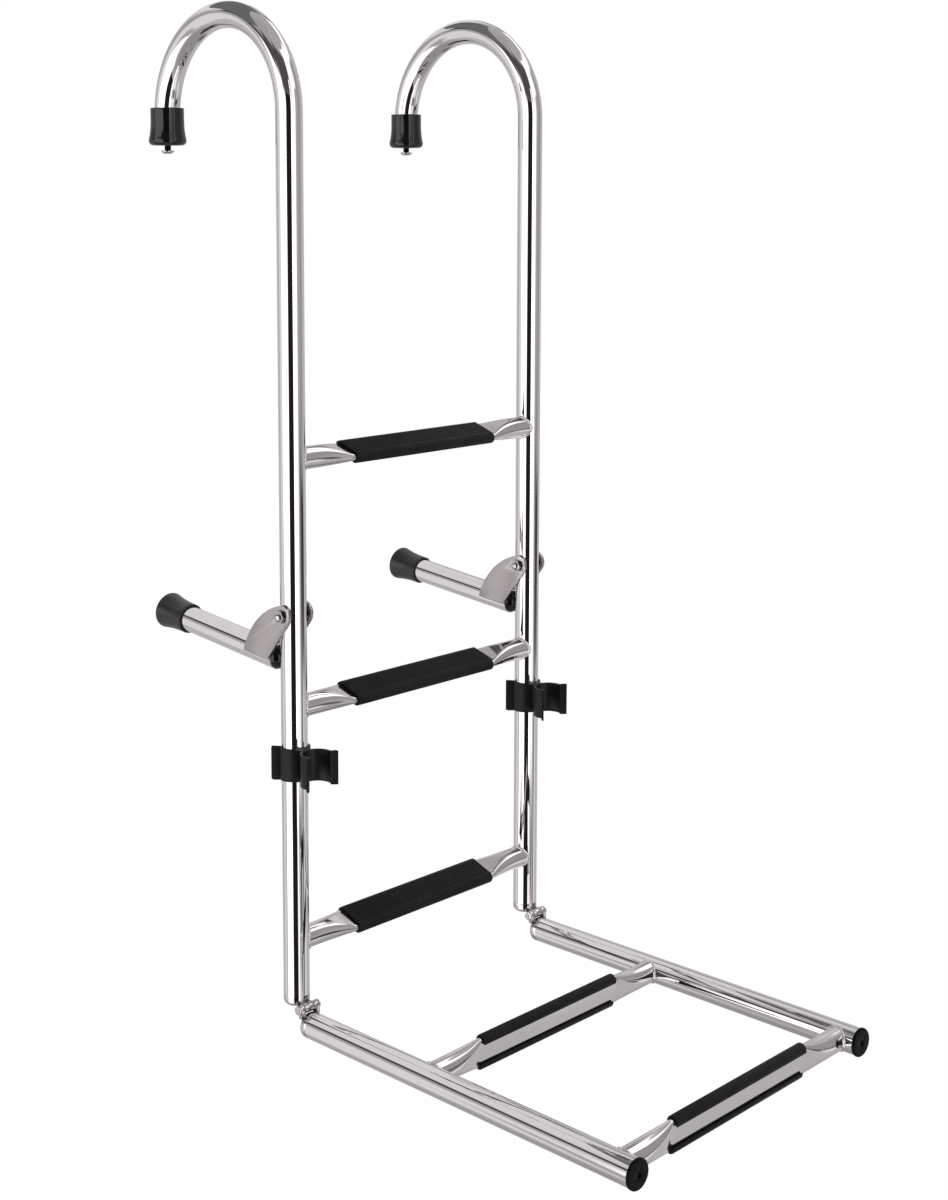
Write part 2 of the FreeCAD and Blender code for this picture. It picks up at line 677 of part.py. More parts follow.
def build_bumper(label):
    """Rubber plug in a stand-off's root; its dome bears on the rail's back. The tube ends at z = 0."""
    body = new_body(label)
    dome = "Sizes.bumper_dome_radius"
    angle = "(Sizes.standoff_angle * 1 deg)"
    reach = "(%s + Sizes.side_clearance + %s - Sizes.standoff_drop * sin%s)" % (RAIL_R, dome, angle)
    height = "(Sizes.standoff_root + %s - %s / cos%s)" % (dome, reach, angle)
    rim = "sqrt(2 * %s * %s - %s ^ 2)" % (dome, height, height)
    profile = new_sketch(body, "XZ_Plane", "outline")
    add_outline(profile, [
        ("0", "-" + height, "+" + dome),
        (rim, "0"),
        (SPIGOT_R, "0"),
        (SPIGOT_R, "Sizes.bumper_spigot"),
        ("0", "Sizes.bumper_spigot"),
    ])
    revolve(body, profile, "moulding")
    return body


def build_bracket(label):
    """Pair of leaf-shaped ears that hang a stand-off tube on its bolt, welded to the tube's sides."""
    body = new_body(label)
    inner = "(%s + Sizes.side_clearance)" % RAIL_R
    drop = "-Sizes.standoff_drop"
    tip = "Sizes.bracket_tip_radius"
    edge = "Sizes.bracket_edge_angle * 1 deg"
    leaf = new_sketch(body, "YZ_Plane", "leaf", inner)
    add_outline(leaf, [
        ("0", tip, "-Sizes.bracket_arc_radius"),
        ("Sizes.bracket_far", drop),
        ("Sizes.bracket_near", drop),
        ("-%s * cos(%s)" % (tip, edge), "-%s * sin(%s)" % (tip, edge), "-" + tip),
    ])
    ear = extrude(body, "Pad", leaf, "ear", "Sizes.bracket_thickness", middle=False)
    bead = new_sketch(body, "XZ_Plane", "bead", "-Sizes.bracket_near")
    add_circle(bead, inner, drop, "Sizes.bracket_weld_radius")
    run = "Sizes.bracket_far - Sizes.bracket_near"
    weld = extrude(body, "Pad", bead, "weld", run, middle=False, reverse=True)
    mirror(body, [ear, weld], "YZ_Plane", "other_ear")
    seat = new_sketch(body, "XZ_Plane", "tube_seat")
    add_circle(seat, "0", drop, RAIL_R)
    extrude(body, "Pocket", seat, "seat")
    hole = new_sketch(body, "YZ_Plane", "bolt_hole")
    add_circle(hole, "0", "0", "Sizes.bolt_radius + Sizes.pin_clearance")
    extrude(body, "Pocket", hole, "bolt_bore")
    return body


def dome_turn(radius, height):
    """Turn of the arc from a dome's rim to its top, as add_outline takes it."""
    return "+((%s ^ 2 + %s ^ 2) / (2 * %s))" % (radius, height, height)


def build_bolt(label):
    """Through bolt of a stand-off: low round head towards +X, hexagonal cap nut towards -X."""
    body = new_body(label)
    outside = "(%s + 2 * Sizes.side_clearance + Sizes.bracket_thickness)" % RAIL_R
    end = "(%s + Sizes.bolt_end_height)" % outside
    rim = "(%s + Sizes.bolt_head_rim)" % outside
    nut_end = "(%s + Sizes.nut_height)" % outside
    profile = new_sketch(body, "XZ_Plane", "outline")
    add_outline(profile, [
        ("-" + end, "0"),
        (end, "0", dome_turn("Sizes.bolt_head_radius", "(%s - %s)" % (end, rim))),
        (rim, "Sizes.bolt_head_radius"),
        (outside, "Sizes.bolt_head_radius"),
        (outside, "Sizes.bolt_radius"),
        ("-" + nut_end, "Sizes.bolt_radius"),
        ("-" + nut_end, "Sizes.nut_dome_radius",
         dome_turn("Sizes.nut_dome_radius", "(%s - %s)" % (end, nut_end))),
    ])
    revolve(body, profile, "shank_and_domes", "H_Axis")
    nut = new_sketch(body, "YZ_Plane", "nut_outline", "-" + outside)
    half = "(Sizes.nut_corner_radius / 2)"
    tall = "(Sizes.nut_corner_radius * sqrt(0.75))"
    add_outline(nut, [
        ("Sizes.nut_corner_radius", "0"),
        (half, tall),
        ("-" + half, tall),
        ("-Sizes.nut_corner_radius", "0"),
        ("-" + half, "-" + tall),
        (half, "-" + tall),
    ])
    extrude(body, "Pad", nut, "nut", "Sizes.nut_height", middle=False, reverse=True)
    return body


# Stance. The foot section lies on the rounded heads of its hinge fittings and on the back edge of
# the leaning tread pad of rung 4, so it slopes up by a small angle towards its free end.
rail_r = value(RAIL_R)
pin_offset = value("Sizes.pin_offset")
rounding = value("Sizes.fitting_rounding")
head_back = rounding + value("Sizes.butt_gap / 2")
foot_lean = math.radians(value("Sizes.foot_tread_angle"))
edge_out = value(FLAT_HALF) * math.cos(foot_lean) - rail_r + rounding
edge_reach = value("Sizes.pin_to_rung_4") - value(FLAT_HALF) * math.sin(foot_lean) - head_back
slope = (math.asin((value(TREAD_R) - rounding) / math.hypot(edge_out, edge_reach))
         + math.atan2(edge_out, edge_reach))
pin_height = ((pin_offset + rail_r - rounding) * math.cos(slope) - head_back * math.sin(slope) + rounding)

# The origin is half way between the backs of the hook caps and the free end of the foot.
plug_edge = value("Sizes.plug_flange / 2")
plug_lift = pin_offset + value("Sizes.plug_flange_radius") - plug_edge
plug_reach = value(LOWER_END + " + Sizes.plug_flange") - plug_edge
front = pin_offset + plug_reach * math.cos(slope) + plug_lift * math.sin(slope) + plug_edge
back = value("2 * Sizes.hook_radius + Sizes.hook_cap_foot_radius")
rail_y = (front - back) / 2

TURN_X = FreeCAD.Vector(1, 0, 0)
level = FreeCAD.Rotation()
upper_frame = FreeCAD.Placement(FreeCAD.Vector(0, rail_y, pin_height), level)
pin_at = FreeCAD.Vector(0, -pin_offset, 0)
fold_out = FreeCAD.Rotation(TURN_X, -90 - math.degrees(slope))
foot_fold = (FreeCAD.Placement(pin_at, level)
             * FreeCAD.Placement(FreeCAD.Vector(), fold_out)
             * FreeCAD.Placement(-pin_at, level))
lower_frame = upper_frame * foot_fold


def put(body, frame, x=0.0, y=0.0, z=0.0, rotation=level):
    """Places a body in one of the two sections' frames."""
    body.Placement = frame * FreeCAD.Placement(FreeCAD.Vector(x, y, z), rotation)


# The flats lean forward, so that they are level when the ladder slopes down from the dock.
for section, frame, lean, rungs in (
        ("upper", upper_frame, "Sizes.tread_angle", (
            (1, RUNG_1),
            (2, RUNG_2),
            (3, RUNG_3))),
        ("lower", lower_frame, "Sizes.foot_tread_angle", (
            (4, "-Sizes.pin_to_rung_4"),
            (5, "-Sizes.pin_to_rung_4 - Sizes.rung_4_to_5")))):
    turned = FreeCAD.Rotation(TURN_X, value(lean))
    for number, height in rungs:
        put(build_rung("%s_rung_%d" % (section, number), lean), frame, z=value(height), rotation=turned)
        put(build_tread("%s_tread_%d" % (section, number)), frame, z=value(height), rotation=turned)

for side, sign in (("left", -1), ("right", 1)):
    x = sign * value(HALF_SPACING)
    tip_z = value(BEND + " - Sizes.hook_tip")
    tip_y = value("2 * Sizes.hook_radius")
    pivot_z = value(PIVOT)
    put(build_upper_rail(side + "_upper_rail"), upper_frame, x)
    put(build_hook_cap(side + "_hook_cap"), upper_frame, x, tip_y, tip_z)
    put(build_hook_stud(side + "_hook_stud"), upper_frame, x, tip_y, tip_z)
    put(build_clip(side + "_rail_clip"), upper_frame, x, z=value(CLIP))
    put(build_hinge_fitting(side + "_upper_hinge", down=False), upper_frame, x)
    put(build_bolt(side + "_standoff_bolt"), upper_frame, x, z=pivot_z)
    put(build_lower_rail(side + "_lower_rail"), lower_frame, x)
    put(build_hinge_fitting(side + "_lower_hinge", down=True), lower_frame, x)
    put(build_hinge_pin(side + "_hinge_pin"), lower_frame, x, -pin_offset)
    put(build_end_plug(side + "_end_plug"), lower_frame, x, z=-value(LOWER_END))
    tilt = FreeCAD.Rotation(TURN_X, value("Sizes.standoff_angle"))
    swing = upper_frame * FreeCAD.Placement(FreeCAD.Vector(x, 0, pivot_z), tilt)
    put(build_standoff_tube(side + "_standoff_tube"), swing)
    put(build_bracket(side + "_standoff_bracket"), swing)
    drop = value("Sizes.standoff_drop")
    along = FreeCAD.Rotation(TURN_X, -90)
    root_y = value("Sizes.standoff_root")
    put(build_bumper(side + "_standoff_bumper"), swing, 0, root_y, -drop, along)
    rim_y = value("Sizes.standoff_reach - Sizes.standoff_cap_length")
    put(build_standoff_cap(side + "_standoff_cap"), swing, 0, rim_y, -drop, along)

document.recompute()
for item in document.Objects:
    if "Invalid" in item.State or "Error" in item.State:
        raise RuntimeError("%s of %s failed" % (item.Name, item.getParentGroup()))
for body in nodes:
    if body.Shape.isNull() or not body.Shape.isValid():
        raise RuntimeError("%s has no valid shape" % body.Label)

os.makedirs("parts", exist_ok=True)
for body in nodes:
    body.Shape.exportStep("parts/%s.step" % body.Label)
print("foot slope %.3f deg, pin height %.3f, rail y %.3f" % (math.degrees(slope), pin_height, rail_y))
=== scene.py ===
"""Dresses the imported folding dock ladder: polished tube, pressed rungs, rubber and a pale studio.

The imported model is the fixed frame. Tubes, rungs, tread pads, welds and rivets are modelled here in
their place; the turned and moulded pieces are cleaned copies of their solids with softened edges.
"""
from __future__ import annotations

import json
import logging
import math
from dataclasses import asdict, dataclass, field
from enum import Enum
from typing import Sequence

import bmesh
import bpy
from bpy.types import Material, Mesh, Node, NodeSocket, NodeTree, Object
from mathutils import Matrix, Vector
from mathutils.bvhtree import BVHTree

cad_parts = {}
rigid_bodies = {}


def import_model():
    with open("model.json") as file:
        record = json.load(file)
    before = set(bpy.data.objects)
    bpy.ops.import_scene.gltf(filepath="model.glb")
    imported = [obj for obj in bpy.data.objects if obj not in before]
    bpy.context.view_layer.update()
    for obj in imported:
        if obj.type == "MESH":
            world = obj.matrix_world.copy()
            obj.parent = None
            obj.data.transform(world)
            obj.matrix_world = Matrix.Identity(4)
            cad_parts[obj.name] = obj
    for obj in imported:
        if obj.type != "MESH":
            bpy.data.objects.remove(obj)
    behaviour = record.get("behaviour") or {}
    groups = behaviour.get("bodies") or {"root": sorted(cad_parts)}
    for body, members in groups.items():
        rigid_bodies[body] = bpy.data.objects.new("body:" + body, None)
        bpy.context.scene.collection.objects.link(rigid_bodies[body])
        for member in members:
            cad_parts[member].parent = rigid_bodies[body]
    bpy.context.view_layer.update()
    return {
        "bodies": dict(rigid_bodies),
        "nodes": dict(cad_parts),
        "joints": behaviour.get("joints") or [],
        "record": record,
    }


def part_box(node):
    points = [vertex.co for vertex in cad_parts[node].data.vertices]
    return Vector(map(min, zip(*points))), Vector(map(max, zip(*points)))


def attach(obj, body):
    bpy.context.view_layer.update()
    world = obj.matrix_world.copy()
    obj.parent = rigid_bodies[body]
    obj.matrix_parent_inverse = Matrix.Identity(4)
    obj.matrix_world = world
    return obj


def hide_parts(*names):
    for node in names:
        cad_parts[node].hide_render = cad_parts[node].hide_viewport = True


log = logging.getLogger("dock_ladder")
MM = 0.001
# Mesh attributes that finishes read: the place on a tube's buffed skin, and how closed in a spot is,
# which sets the painted shade there
GRAIN = "grain"
RECESS = "recess"
# A Mix node's two colour inputs
MIX_A, MIX_B = 6, 7
# Vertices nearer than this are one, and faces that turn by fewer degrees are one flat
SAME_PLACE = 0.001 * MM
FLAT_TURN = 0.4
# Edges of a solid that turn by more degrees are softened with this many faces
EDGE_TURN = 34.0
EDGE_FACES = 2


class Side(Enum):
    """The two sides of the ladder, with the sign of their X."""

    LEFT = -1
    RIGHT = 1

    @property
    def word(self) -> str:
        """Name of the side as node names spell it."""
        return self.name.lower()


def linear(hex_colour: str) -> tuple[float, float, float, float]:
    """Turns an sRGB hex colour into a linear RGBA one.

    Args:
        hex_colour: six hex digits, such as "1c1d1e".

    Returns:
        The linear red, green, blue and an alpha of 1.
    """
    channels = [int(hex_colour[index:index + 2], 16) / 255 for index in (0, 2, 4)]
    red, green, blue = (c / 12.92 if c <= 0.04045 else ((c + 0.055) / 1.055) ** 2.4
                        for c in channels)
    return red, green, blue, 1.0


def add_node(tree: NodeTree, kind: str, inputs: dict | None = None, **settings) -> Node:
    """Adds a node, sets its properties and fills or links its inputs.

    Args:
        tree: the node tree.
        kind: the node's type name, such as "ShaderNodeTexNoise".
        inputs: by the input's name or index, a value, an output socket, or a node that stands for
            the first output it has in use.
        **settings: the node's own properties.

    Returns:
        The new node.
    """
    node = tree.nodes.new(kind)
    for name, setting in settings.items():
        setattr(node, name, setting)
    for key, given in (inputs or {}).items():
        if isinstance(given, Node):
            given = next(socket for socket in given.outputs if socket.enabled)
        if isinstance(given, NodeSocket):
            tree.links.new(given, node.inputs[key])
        else:
            node.inputs[key].default_value = given
    return node


@dataclass(frozen=True)
class Surface:
    """A material of one Principled shader, to which each kind of surface gives its inputs."""

    name: str
    colour: str
    roughness: float

    def inputs(self, tree: NodeTree) -> dict:
        """The shader's inputs by name, with the nodes before them added to the tree."""
        raise NotImplementedError

    def material(self) -> Material:
        """Makes the material on its first use.

        Returns:
            The material.
        """
        material = bpy.data.materials.get(self.name)
        if material is None:
            material = bpy.data.materials.new(self.name)
            material.use_nodes = True
            tree = material.node_tree
            tree.nodes.clear()
            shader = add_node(tree, "ShaderNodeBsdfPrincipled", self.inputs(tree))
            add_node(tree, "ShaderNodeOutputMaterial", {"Surface": shader})
        return material


@dataclass(frozen=True)
class PolishedTube(Surface):
    """Mirror-polished stainless tube: 316 steel, drawn and then buffed along its length.

    Buffing leaves faint lines along the tube and soft smears of wax, so the mirror is never quite
    even. Real lines are hundredths of a millimetre wide and would not show, so these are coarser.
    A pressed tube also keeps shallow waves, which bend its reflections.
    """

    line_width: float = 0.6 * MM
    line_length: float = 90 * MM
    line_relief: float = 0.001
    line_depth: float = 0.02 * MM
    smear: float = 45 * MM
    wave: float = 0.0
    wave_length: float = 60 * MM

    def inputs(self, tree: NodeTree) -> dict:
        """Lays the buffing along X of the grain attribute, which runs along the tube.

        Args:
            tree: the material's node tree.

        Returns:
            The shader's inputs by name.
        """
        grain = add_node(tree, "ShaderNodeAttribute", attribute_name=GRAIN).outputs["Vector"]
        along, across = 1 / self.line_length, 1 / self.line_width
        stretched = add_node(tree, "ShaderNodeMapping", {
            "Vector": grain, "Scale": (along, across, across)})
        lines = add_node(tree, "ShaderNodeTexNoise", {
            "Vector": stretched, "Scale": 1.0, "Detail": 2.0, "Roughness": 0.55})
        smears = add_node(tree, "ShaderNodeTexNoise", {
            "Vector": grain, "Scale": 1 / self.smear, "Detail": 3.0, "Roughness": 0.6})
        mixed = add_node(tree, "ShaderNodeMath", {0: lines, 1: smears}, operation="MULTIPLY")
        rough = add_node(tree, "ShaderNodeMapRange", {
            "Value": mixed, "From Min": 0.12, "From Max": 0.42,
            "To Min": self.roughness * 0.6, "To Max": self.roughness * 1.7})
        relief = {"Height": lines, "Strength": self.line_relief, "Distance": self.line_depth}
        if self.wave:
            waves = add_node(tree, "ShaderNodeTexNoise", {
                "Vector": grain, "Scale": 1 / self.wave_length, "Detail": 1.0, "Roughness": 0.4})
            relief["Normal"] = add_node(tree, "ShaderNodeBump", {
                "Height": waves, "Strength": 1.0, "Distance": self.wave})
        return {"Base Color": linear(self.colour), "Metallic": 1.0, "Roughness": rough,
                "Normal": add_node(tree, "ShaderNodeBump", relief)}


@dataclass(frozen=True)
class SteelPart(Surface):
    """Solid stainless steel part: rolled plate, or a casting that was polished all over.

    A fine even grain spreads the reflections; a plate shows its rolling direction as faint lines.
    The grain is drawn as coarse as it needs to be to show, like the tube's. A casting's recesses get
    painted shade.
    """

    line_width: float
    line_length: float
    relief: float
    line_depth: float = 0.03 * MM
    mottle: float = 14 * MM
    mottle_level: float = 0.86
    # Near black of the painted shade that darkens a casting where it is closed in
    grime: str = "161415"

    def inputs(self, tree: NodeTree) -> dict:
        """Lays the grain along Z, breaks it by a soft mottling and paints shade into the recesses.

        Args:
            tree: the material's node tree.

        Returns:
            The shader's inputs by name.
        """
        place = add_node(tree, "ShaderNodeTexCoord").outputs["Object"]
        across, along = 1 / self.line_width, 1 / self.line_length
        stretched = add_node(tree, "ShaderNodeMapping", {
            "Vector": place, "Scale": (across, across, along)})
        lines = add_node(tree, "ShaderNodeTexNoise", {
            "Vector": stretched, "Scale": 1.0, "Detail": 3.0, "Roughness": 0.6})
        mottle = add_node(tree, "ShaderNodeTexNoise", {
            "Vector": place, "Scale": 1 / self.mottle, "Detail": 3.0, "Roughness": 0.55})
        clean = linear(self.colour)
        tint = add_node(tree, "ShaderNodeMix", {
            "Factor": mottle, MIX_A: clean,
            MIX_B: tuple(self.mottle_level * c for c in clean[:3]) + (1.0,)}, data_type="RGBA")
        # Painted shade: the colour turns to near black where the recess attribute finds a spot closed
        # in
        recess = add_node(tree, "ShaderNodeAttribute", attribute_name=RECESS).outputs["Fac"]
        shaded_tint = add_node(tree, "ShaderNodeMix", {
            "Factor": recess, MIX_A: tint, MIX_B: linear(self.grime)}, data_type="RGBA")
        rough = add_node(tree, "ShaderNodeMapRange", {
            "Value": lines, "From Min": 0.3, "From Max": 0.7,
            "To Min": self.roughness * 0.8, "To Max": self.roughness * 1.25})
        bump = add_node(tree, "ShaderNodeBump", {
            "Height": lines, "Strength": self.relief, "Distance": self.line_depth})
        return {"Base Color": shaded_tint, "Metallic": 1.0, "Roughness": rough, "Normal": bump}


@dataclass(frozen=True)
class Moulded(Surface):
    """Moulded rubber or plastic: black, with the mould's fine skin and a little dust in it.

    The skin's pebbles are coarser than real ones, which are too fine to show.
    """

    worn_colour: str
    skin: float
    relief: float
    specular: float = 0.5
    skin_depth: float = 0.05 * MM
    cloud: float = 22 * MM

    def inputs(self, tree: NodeTree) -> dict:
        """Roughens the gloss by the skin's pebbles and shifts the black by a broad cloud.

        Args:
            tree: the material's node tree.

        Returns:
            The shader's inputs by name.
        """
        place = add_node(tree, "ShaderNodeTexCoord").outputs["Object"]
        skin = add_node(tree, "ShaderNodeTexNoise", {
            "Vector": place, "Scale": 1 / self.skin, "Detail": 3.0, "Roughness": 0.6})
        cloud = add_node(tree, "ShaderNodeTexNoise", {
            "Vector": place, "Scale": 1 / self.cloud, "Detail": 4.0, "Roughness": 0.6})
        blend = add_node(tree, "ShaderNodeMapRange", {
            "Value": cloud, "From Min": 0.35, "From Max": 0.75, "To Min": 0.0, "To Max": 1.0})
        tint = add_node(tree, "ShaderNodeMix", {
            "Factor": blend, MIX_A: linear(self.colour), MIX_B: linear(self.worn_colour)},
            data_type="RGBA")
        rough = add_node(tree, "ShaderNodeMapRange", {
            "Value": skin, "From Min": 0.3, "From Max": 0.7,
            "To Min": self.roughness * 0.85, "To Max": self.roughness * 1.15})
        bump = add_node(tree, "ShaderNodeBump", {
            "Height": skin, "Strength": self.relief, "Distance": self.skin_depth})
        return {"Base Color": tint, "Specular IOR Level": self.specular, "Roughness": rough,
                "Normal": bump}


@dataclass(frozen=True)
class StudioSheet(Surface):
    """Matt paper or cloth of the studio, which glows a little as if it were lit all over."""

    specular: float
    glow: float

    def inputs(self, tree: NodeTree) -> dict:
        """The shader's inputs by name, all plain values."""
        return {"Base Color": linear(self.colour), "Roughness": self.roughness,
                "Specular IOR Level": self.specular,
                "Emission Color": linear("ffffff"), "Emission Strength": self.glow}


class Finish(Enum):
    """Every finish on the ladder, each after the record's material slot that it stands for."""

    # Drawn tube, mirror-buffed: long black and white streaks with sharp edges
    TUBE = "polished_steel", PolishedTube("mirror_polished_stainless_tube", "dfdddf", 0.032)
    # The same tube after pressing: its flats ripple and blur what they mirror
    RUNG = "polished_steel", PolishedTube("pressed_stainless_rung", "dcd9db", 0.075,
                                          line_relief=0.05, wave=0.8 * MM)
    # Rolled plate left satin: an even soft grey without a clear reflection
    PLATE = "satin_steel", SteelPart("satin_rolled_stainless_plate", "bcb7b6", 0.22,
                                     0.5 * MM, 14 * MM, 0.06)
    # Cast or turned, then tumbled bright: small hard highlights, and painted shade in the recesses
    CASTING = "satin_steel", SteelPart("polished_stainless_casting", "cfcbcd", 0.045,
                                       0.7 * MM, 1.2 * MM, 0.03)
    # Rubber from a polished mould: deep black with a crisp stripe of light
    GLOSS_RUBBER = "gloss_rubber", Moulded("glossy_black_rubber", "060608", 0.07,
                                           "0b0b0d", 0.35 * MM, 0.015)
    # Rubber from a plain mould: charcoal with a broad soft sheen
    CAP_RUBBER = "gloss_rubber", Moulded("charcoal_moulded_rubber", "0c0e0e", 0.34,
                                         "121414", 0.4 * MM, 0.10)
    # Extruded EPDM: matt, so that only its ribs catch light
    TREAD_RUBBER = "tread_rubber", Moulded("ribbed_black_epdm", "0c0c0d", 0.50,
                                           "121213", 0.3 * MM, 0.22, 0.12)
    # Moulded nylon: a satin black with soft light along its edges
    CLIP_PLASTIC = "black_plastic", Moulded("black_moulded_nylon", "0b0b0c", 0.40,
                                            "111112", 0.5 * MM, 0.08, 0.2)
    # Moulded polyethylene: waxy and the deepest black of all
    PLUG_PLASTIC = "black_plastic", Moulded("black_polyethylene", "030304", 0.36,
                                            "070708", 0.5 * MM, 0.08, 0.07)

    def get(self) -> Material:
        """The finish's material, made on first use."""
        return self.value[1].material()


def smooth_by_angle(mesh: Mesh, degrees: float) -> None:
    """Shades a mesh smooth and marks edges sharper than an angle.

    Args:
        mesh: the mesh to shade.
        degrees: edges that turn by more stay sharp.
    """
    working = bmesh.new()
    working.from_mesh(mesh)
    limit = math.radians(degrees)
    for face in working.faces:
        face.smooth = True
    for edge in working.edges:
        edge.smooth = len(edge.link_faces) == 2 and edge.calc_face_angle(math.pi) < limit
    working.to_mesh(mesh)
    working.free()


def new_object(name: str, data: bpy.types.ID) -> Object:
    """Links a new object to the scene.

    Args:
        name: the object's name.
        data: its mesh, light or camera; a mesh is already in its place.

    Returns:
        The object, at the origin.
    """
    thing = bpy.data.objects.new(name, data)
    bpy.context.scene.collection.objects.link(thing)
    return thing


def evaluated_mesh(thing: Object) -> Mesh:
    """Applies an object's modifiers and removes the object.

    Args:
        thing: the object.

    Returns:
        The plain mesh that the modifiers gave.
    """
    graph = bpy.context.evaluated_depsgraph_get()
    graph.update()
    mesh = bpy.data.meshes.new_from_object(thing.evaluated_get(graph), depsgraph=graph)
    bpy.data.objects.remove(thing)
    return mesh


def new_geometry_tree(name: str, sizes: dict[str, float | int]
                      ) -> tuple[NodeTree, Sequence[NodeSocket]]:
    """Starts a Geometry Nodes tree that takes a geometry, its sizes and a material.

    Args:
        name: the tree's name.
        sizes: the named size inputs with their defaults.

    Returns:
        The tree and its inputs.
    """
    tree = bpy.data.node_groups.new(name, "GeometryNodeTree")
    add_socket = tree.interface.new_socket
    add_socket("Geometry", in_out="INPUT", socket_type="NodeSocketGeometry")
    for label, size in sizes.items():
        kind = "NodeSocketInt" if isinstance(size, int) else "NodeSocketFloat"
        add_socket(label, in_out="INPUT", socket_type=kind).default_value = size
    add_socket("Material", in_out="INPUT", socket_type="NodeSocketMaterial")
    add_socket("Geometry", in_out="OUTPUT", socket_type="NodeSocketGeometry")
    return tree, add_node(tree, "NodeGroupInput").outputs


def close_geometry_tree(tree: NodeTree, given: Sequence[NodeSocket], geometry: Node) -> None:
    """Ends a tree in Realize Instances and Set Material.

    Args:
        tree: the tree.
        given: its inputs.
        geometry: the node of the finished geometry.
    """
    real = add_node(tree, "GeometryNodeRealizeInstances", {0: geometry})
    dressed = add_node(tree, "GeometryNodeSetMaterial", {
        "Geometry": real, "Material": given["Material"]})
    add_node(tree, "NodeGroupOutput", {0: dressed})


def swept_tube_tree() -> NodeTree:
    """Tree that sweeps a round tube along a path of edges and stores its buffing grain.

    Returns:
        The tree.
    """
    tree, given = new_geometry_tree("swept_tube", {"Radius": 12.7 * MM, "Sides": 96})
    path = add_node(tree, "GeometryNodeMeshToCurve", {0: given[0]})
    length = add_node(tree, "GeometryNodeSplineParameter").outputs["Length"]
    along = add_node(tree, "GeometryNodeCaptureAttribute", {0: path}, domain="POINT")
    along.capture_items.new("FLOAT", "along")
    tree.links.new(length, along.inputs["along"])
    circle = add_node(tree, "GeometryNodeCurvePrimitiveCircle", {
        "Resolution": given["Sides"], "Radius": given["Radius"]})
    place = add_node(tree, "GeometryNodeInputPosition").outputs[0]
    across = add_node(tree, "GeometryNodeCaptureAttribute", {0: circle}, domain="POINT")
    across.capture_items.new("VECTOR", "across")
    tree.links.new(place, across.inputs["across"])
    tube = add_node(tree, "GeometryNodeCurveToMesh", {
        "Curve": along, "Profile Curve": across, "Fill Caps": True})
    split = add_node(tree, "ShaderNodeSeparateXYZ", {0: across.outputs["across"]}).outputs
    grain = add_node(tree, "ShaderNodeCombineXYZ", {
        "X": along.outputs["along"], "Y": split["X"], "Z": split["Y"]})
    stored = add_node(tree, "GeometryNodeStoreNamedAttribute", {
        "Geometry": tube, "Name": GRAIN, "Value": grain}, data_type="FLOAT_VECTOR", domain="POINT")
    close_geometry_tree(tree, given, stored)
    return tree


def bead_tree() -> NodeTree:
    """Tree that lays the overlapping ripples of a weld along a path of edges.

    Returns:
        The tree.
    """
    tree, given = new_geometry_tree("weld_ripples", {
        "Pitch": 1.1 * MM, "Radius": 1.2 * MM, "Flatness": 0.75, "Seed": 4})
    path = add_node(tree, "GeometryNodeMeshToCurve", {0: given[0]})
    points = add_node(tree, "GeometryNodeCurveToPoints", {
        "Curve": path, "Length": given["Pitch"]}, mode="LENGTH")
    drop = add_node(tree, "GeometryNodeMeshIcoSphere", {
        "Radius": given["Radius"], "Subdivisions": 3})
    smooth = add_node(tree, "GeometryNodeSetShadeSmooth", {0: drop})
    size = add_node(tree, "FunctionNodeRandomValue", {
        "Min": (0.9, 0.9, 0.9), "Max": (1.08, 1.08, 1.08), "Seed": given["Seed"]},
        data_type="FLOAT_VECTOR")
    flat = add_node(tree, "ShaderNodeCombineXYZ", {"X": 1.0, "Y": 1.0, "Z": given["Flatness"]})
    scale = add_node(tree, "ShaderNodeVectorMath", {0: size, 1: flat}, operation="MULTIPLY")
    laid = add_node(tree, "GeometryNodeInstanceOnPoints", {
        "Points": points, "Instance": smooth, "Rotation": points.outputs["Rotation"],
        "Scale": scale})
    close_geometry_tree(tree, given, laid)
    return tree


def rivet_tree() -> NodeTree:
    """Tree that sets a low rivet head, domed along X, on each point.

    Returns:
        The tree.
    """
    tree, given = new_geometry_tree("rivet_heads", {"Radius": 2.4 * MM, "Height": 0.5 * MM})
    head = add_node(tree, "GeometryNodeMeshUVSphere", {
        "Segments": 32, "Rings": 16, "Radius": given["Radius"]})
    smooth = add_node(tree, "GeometryNodeSetShadeSmooth", {0: head})
    flat = add_node(tree, "ShaderNodeMath", {0: given["Height"], 1: given["Radius"]},
                    operation="DIVIDE")
    scale = add_node(tree, "ShaderNodeCombineXYZ", {"X": flat, "Y": 1.0, "Z": 1.0})
    laid = add_node(tree, "GeometryNodeInstanceOnPoints", {
        "Points": given[0], "Instance": smooth, "Scale": scale})
    close_geometry_tree(tree, given, laid)
    return tree


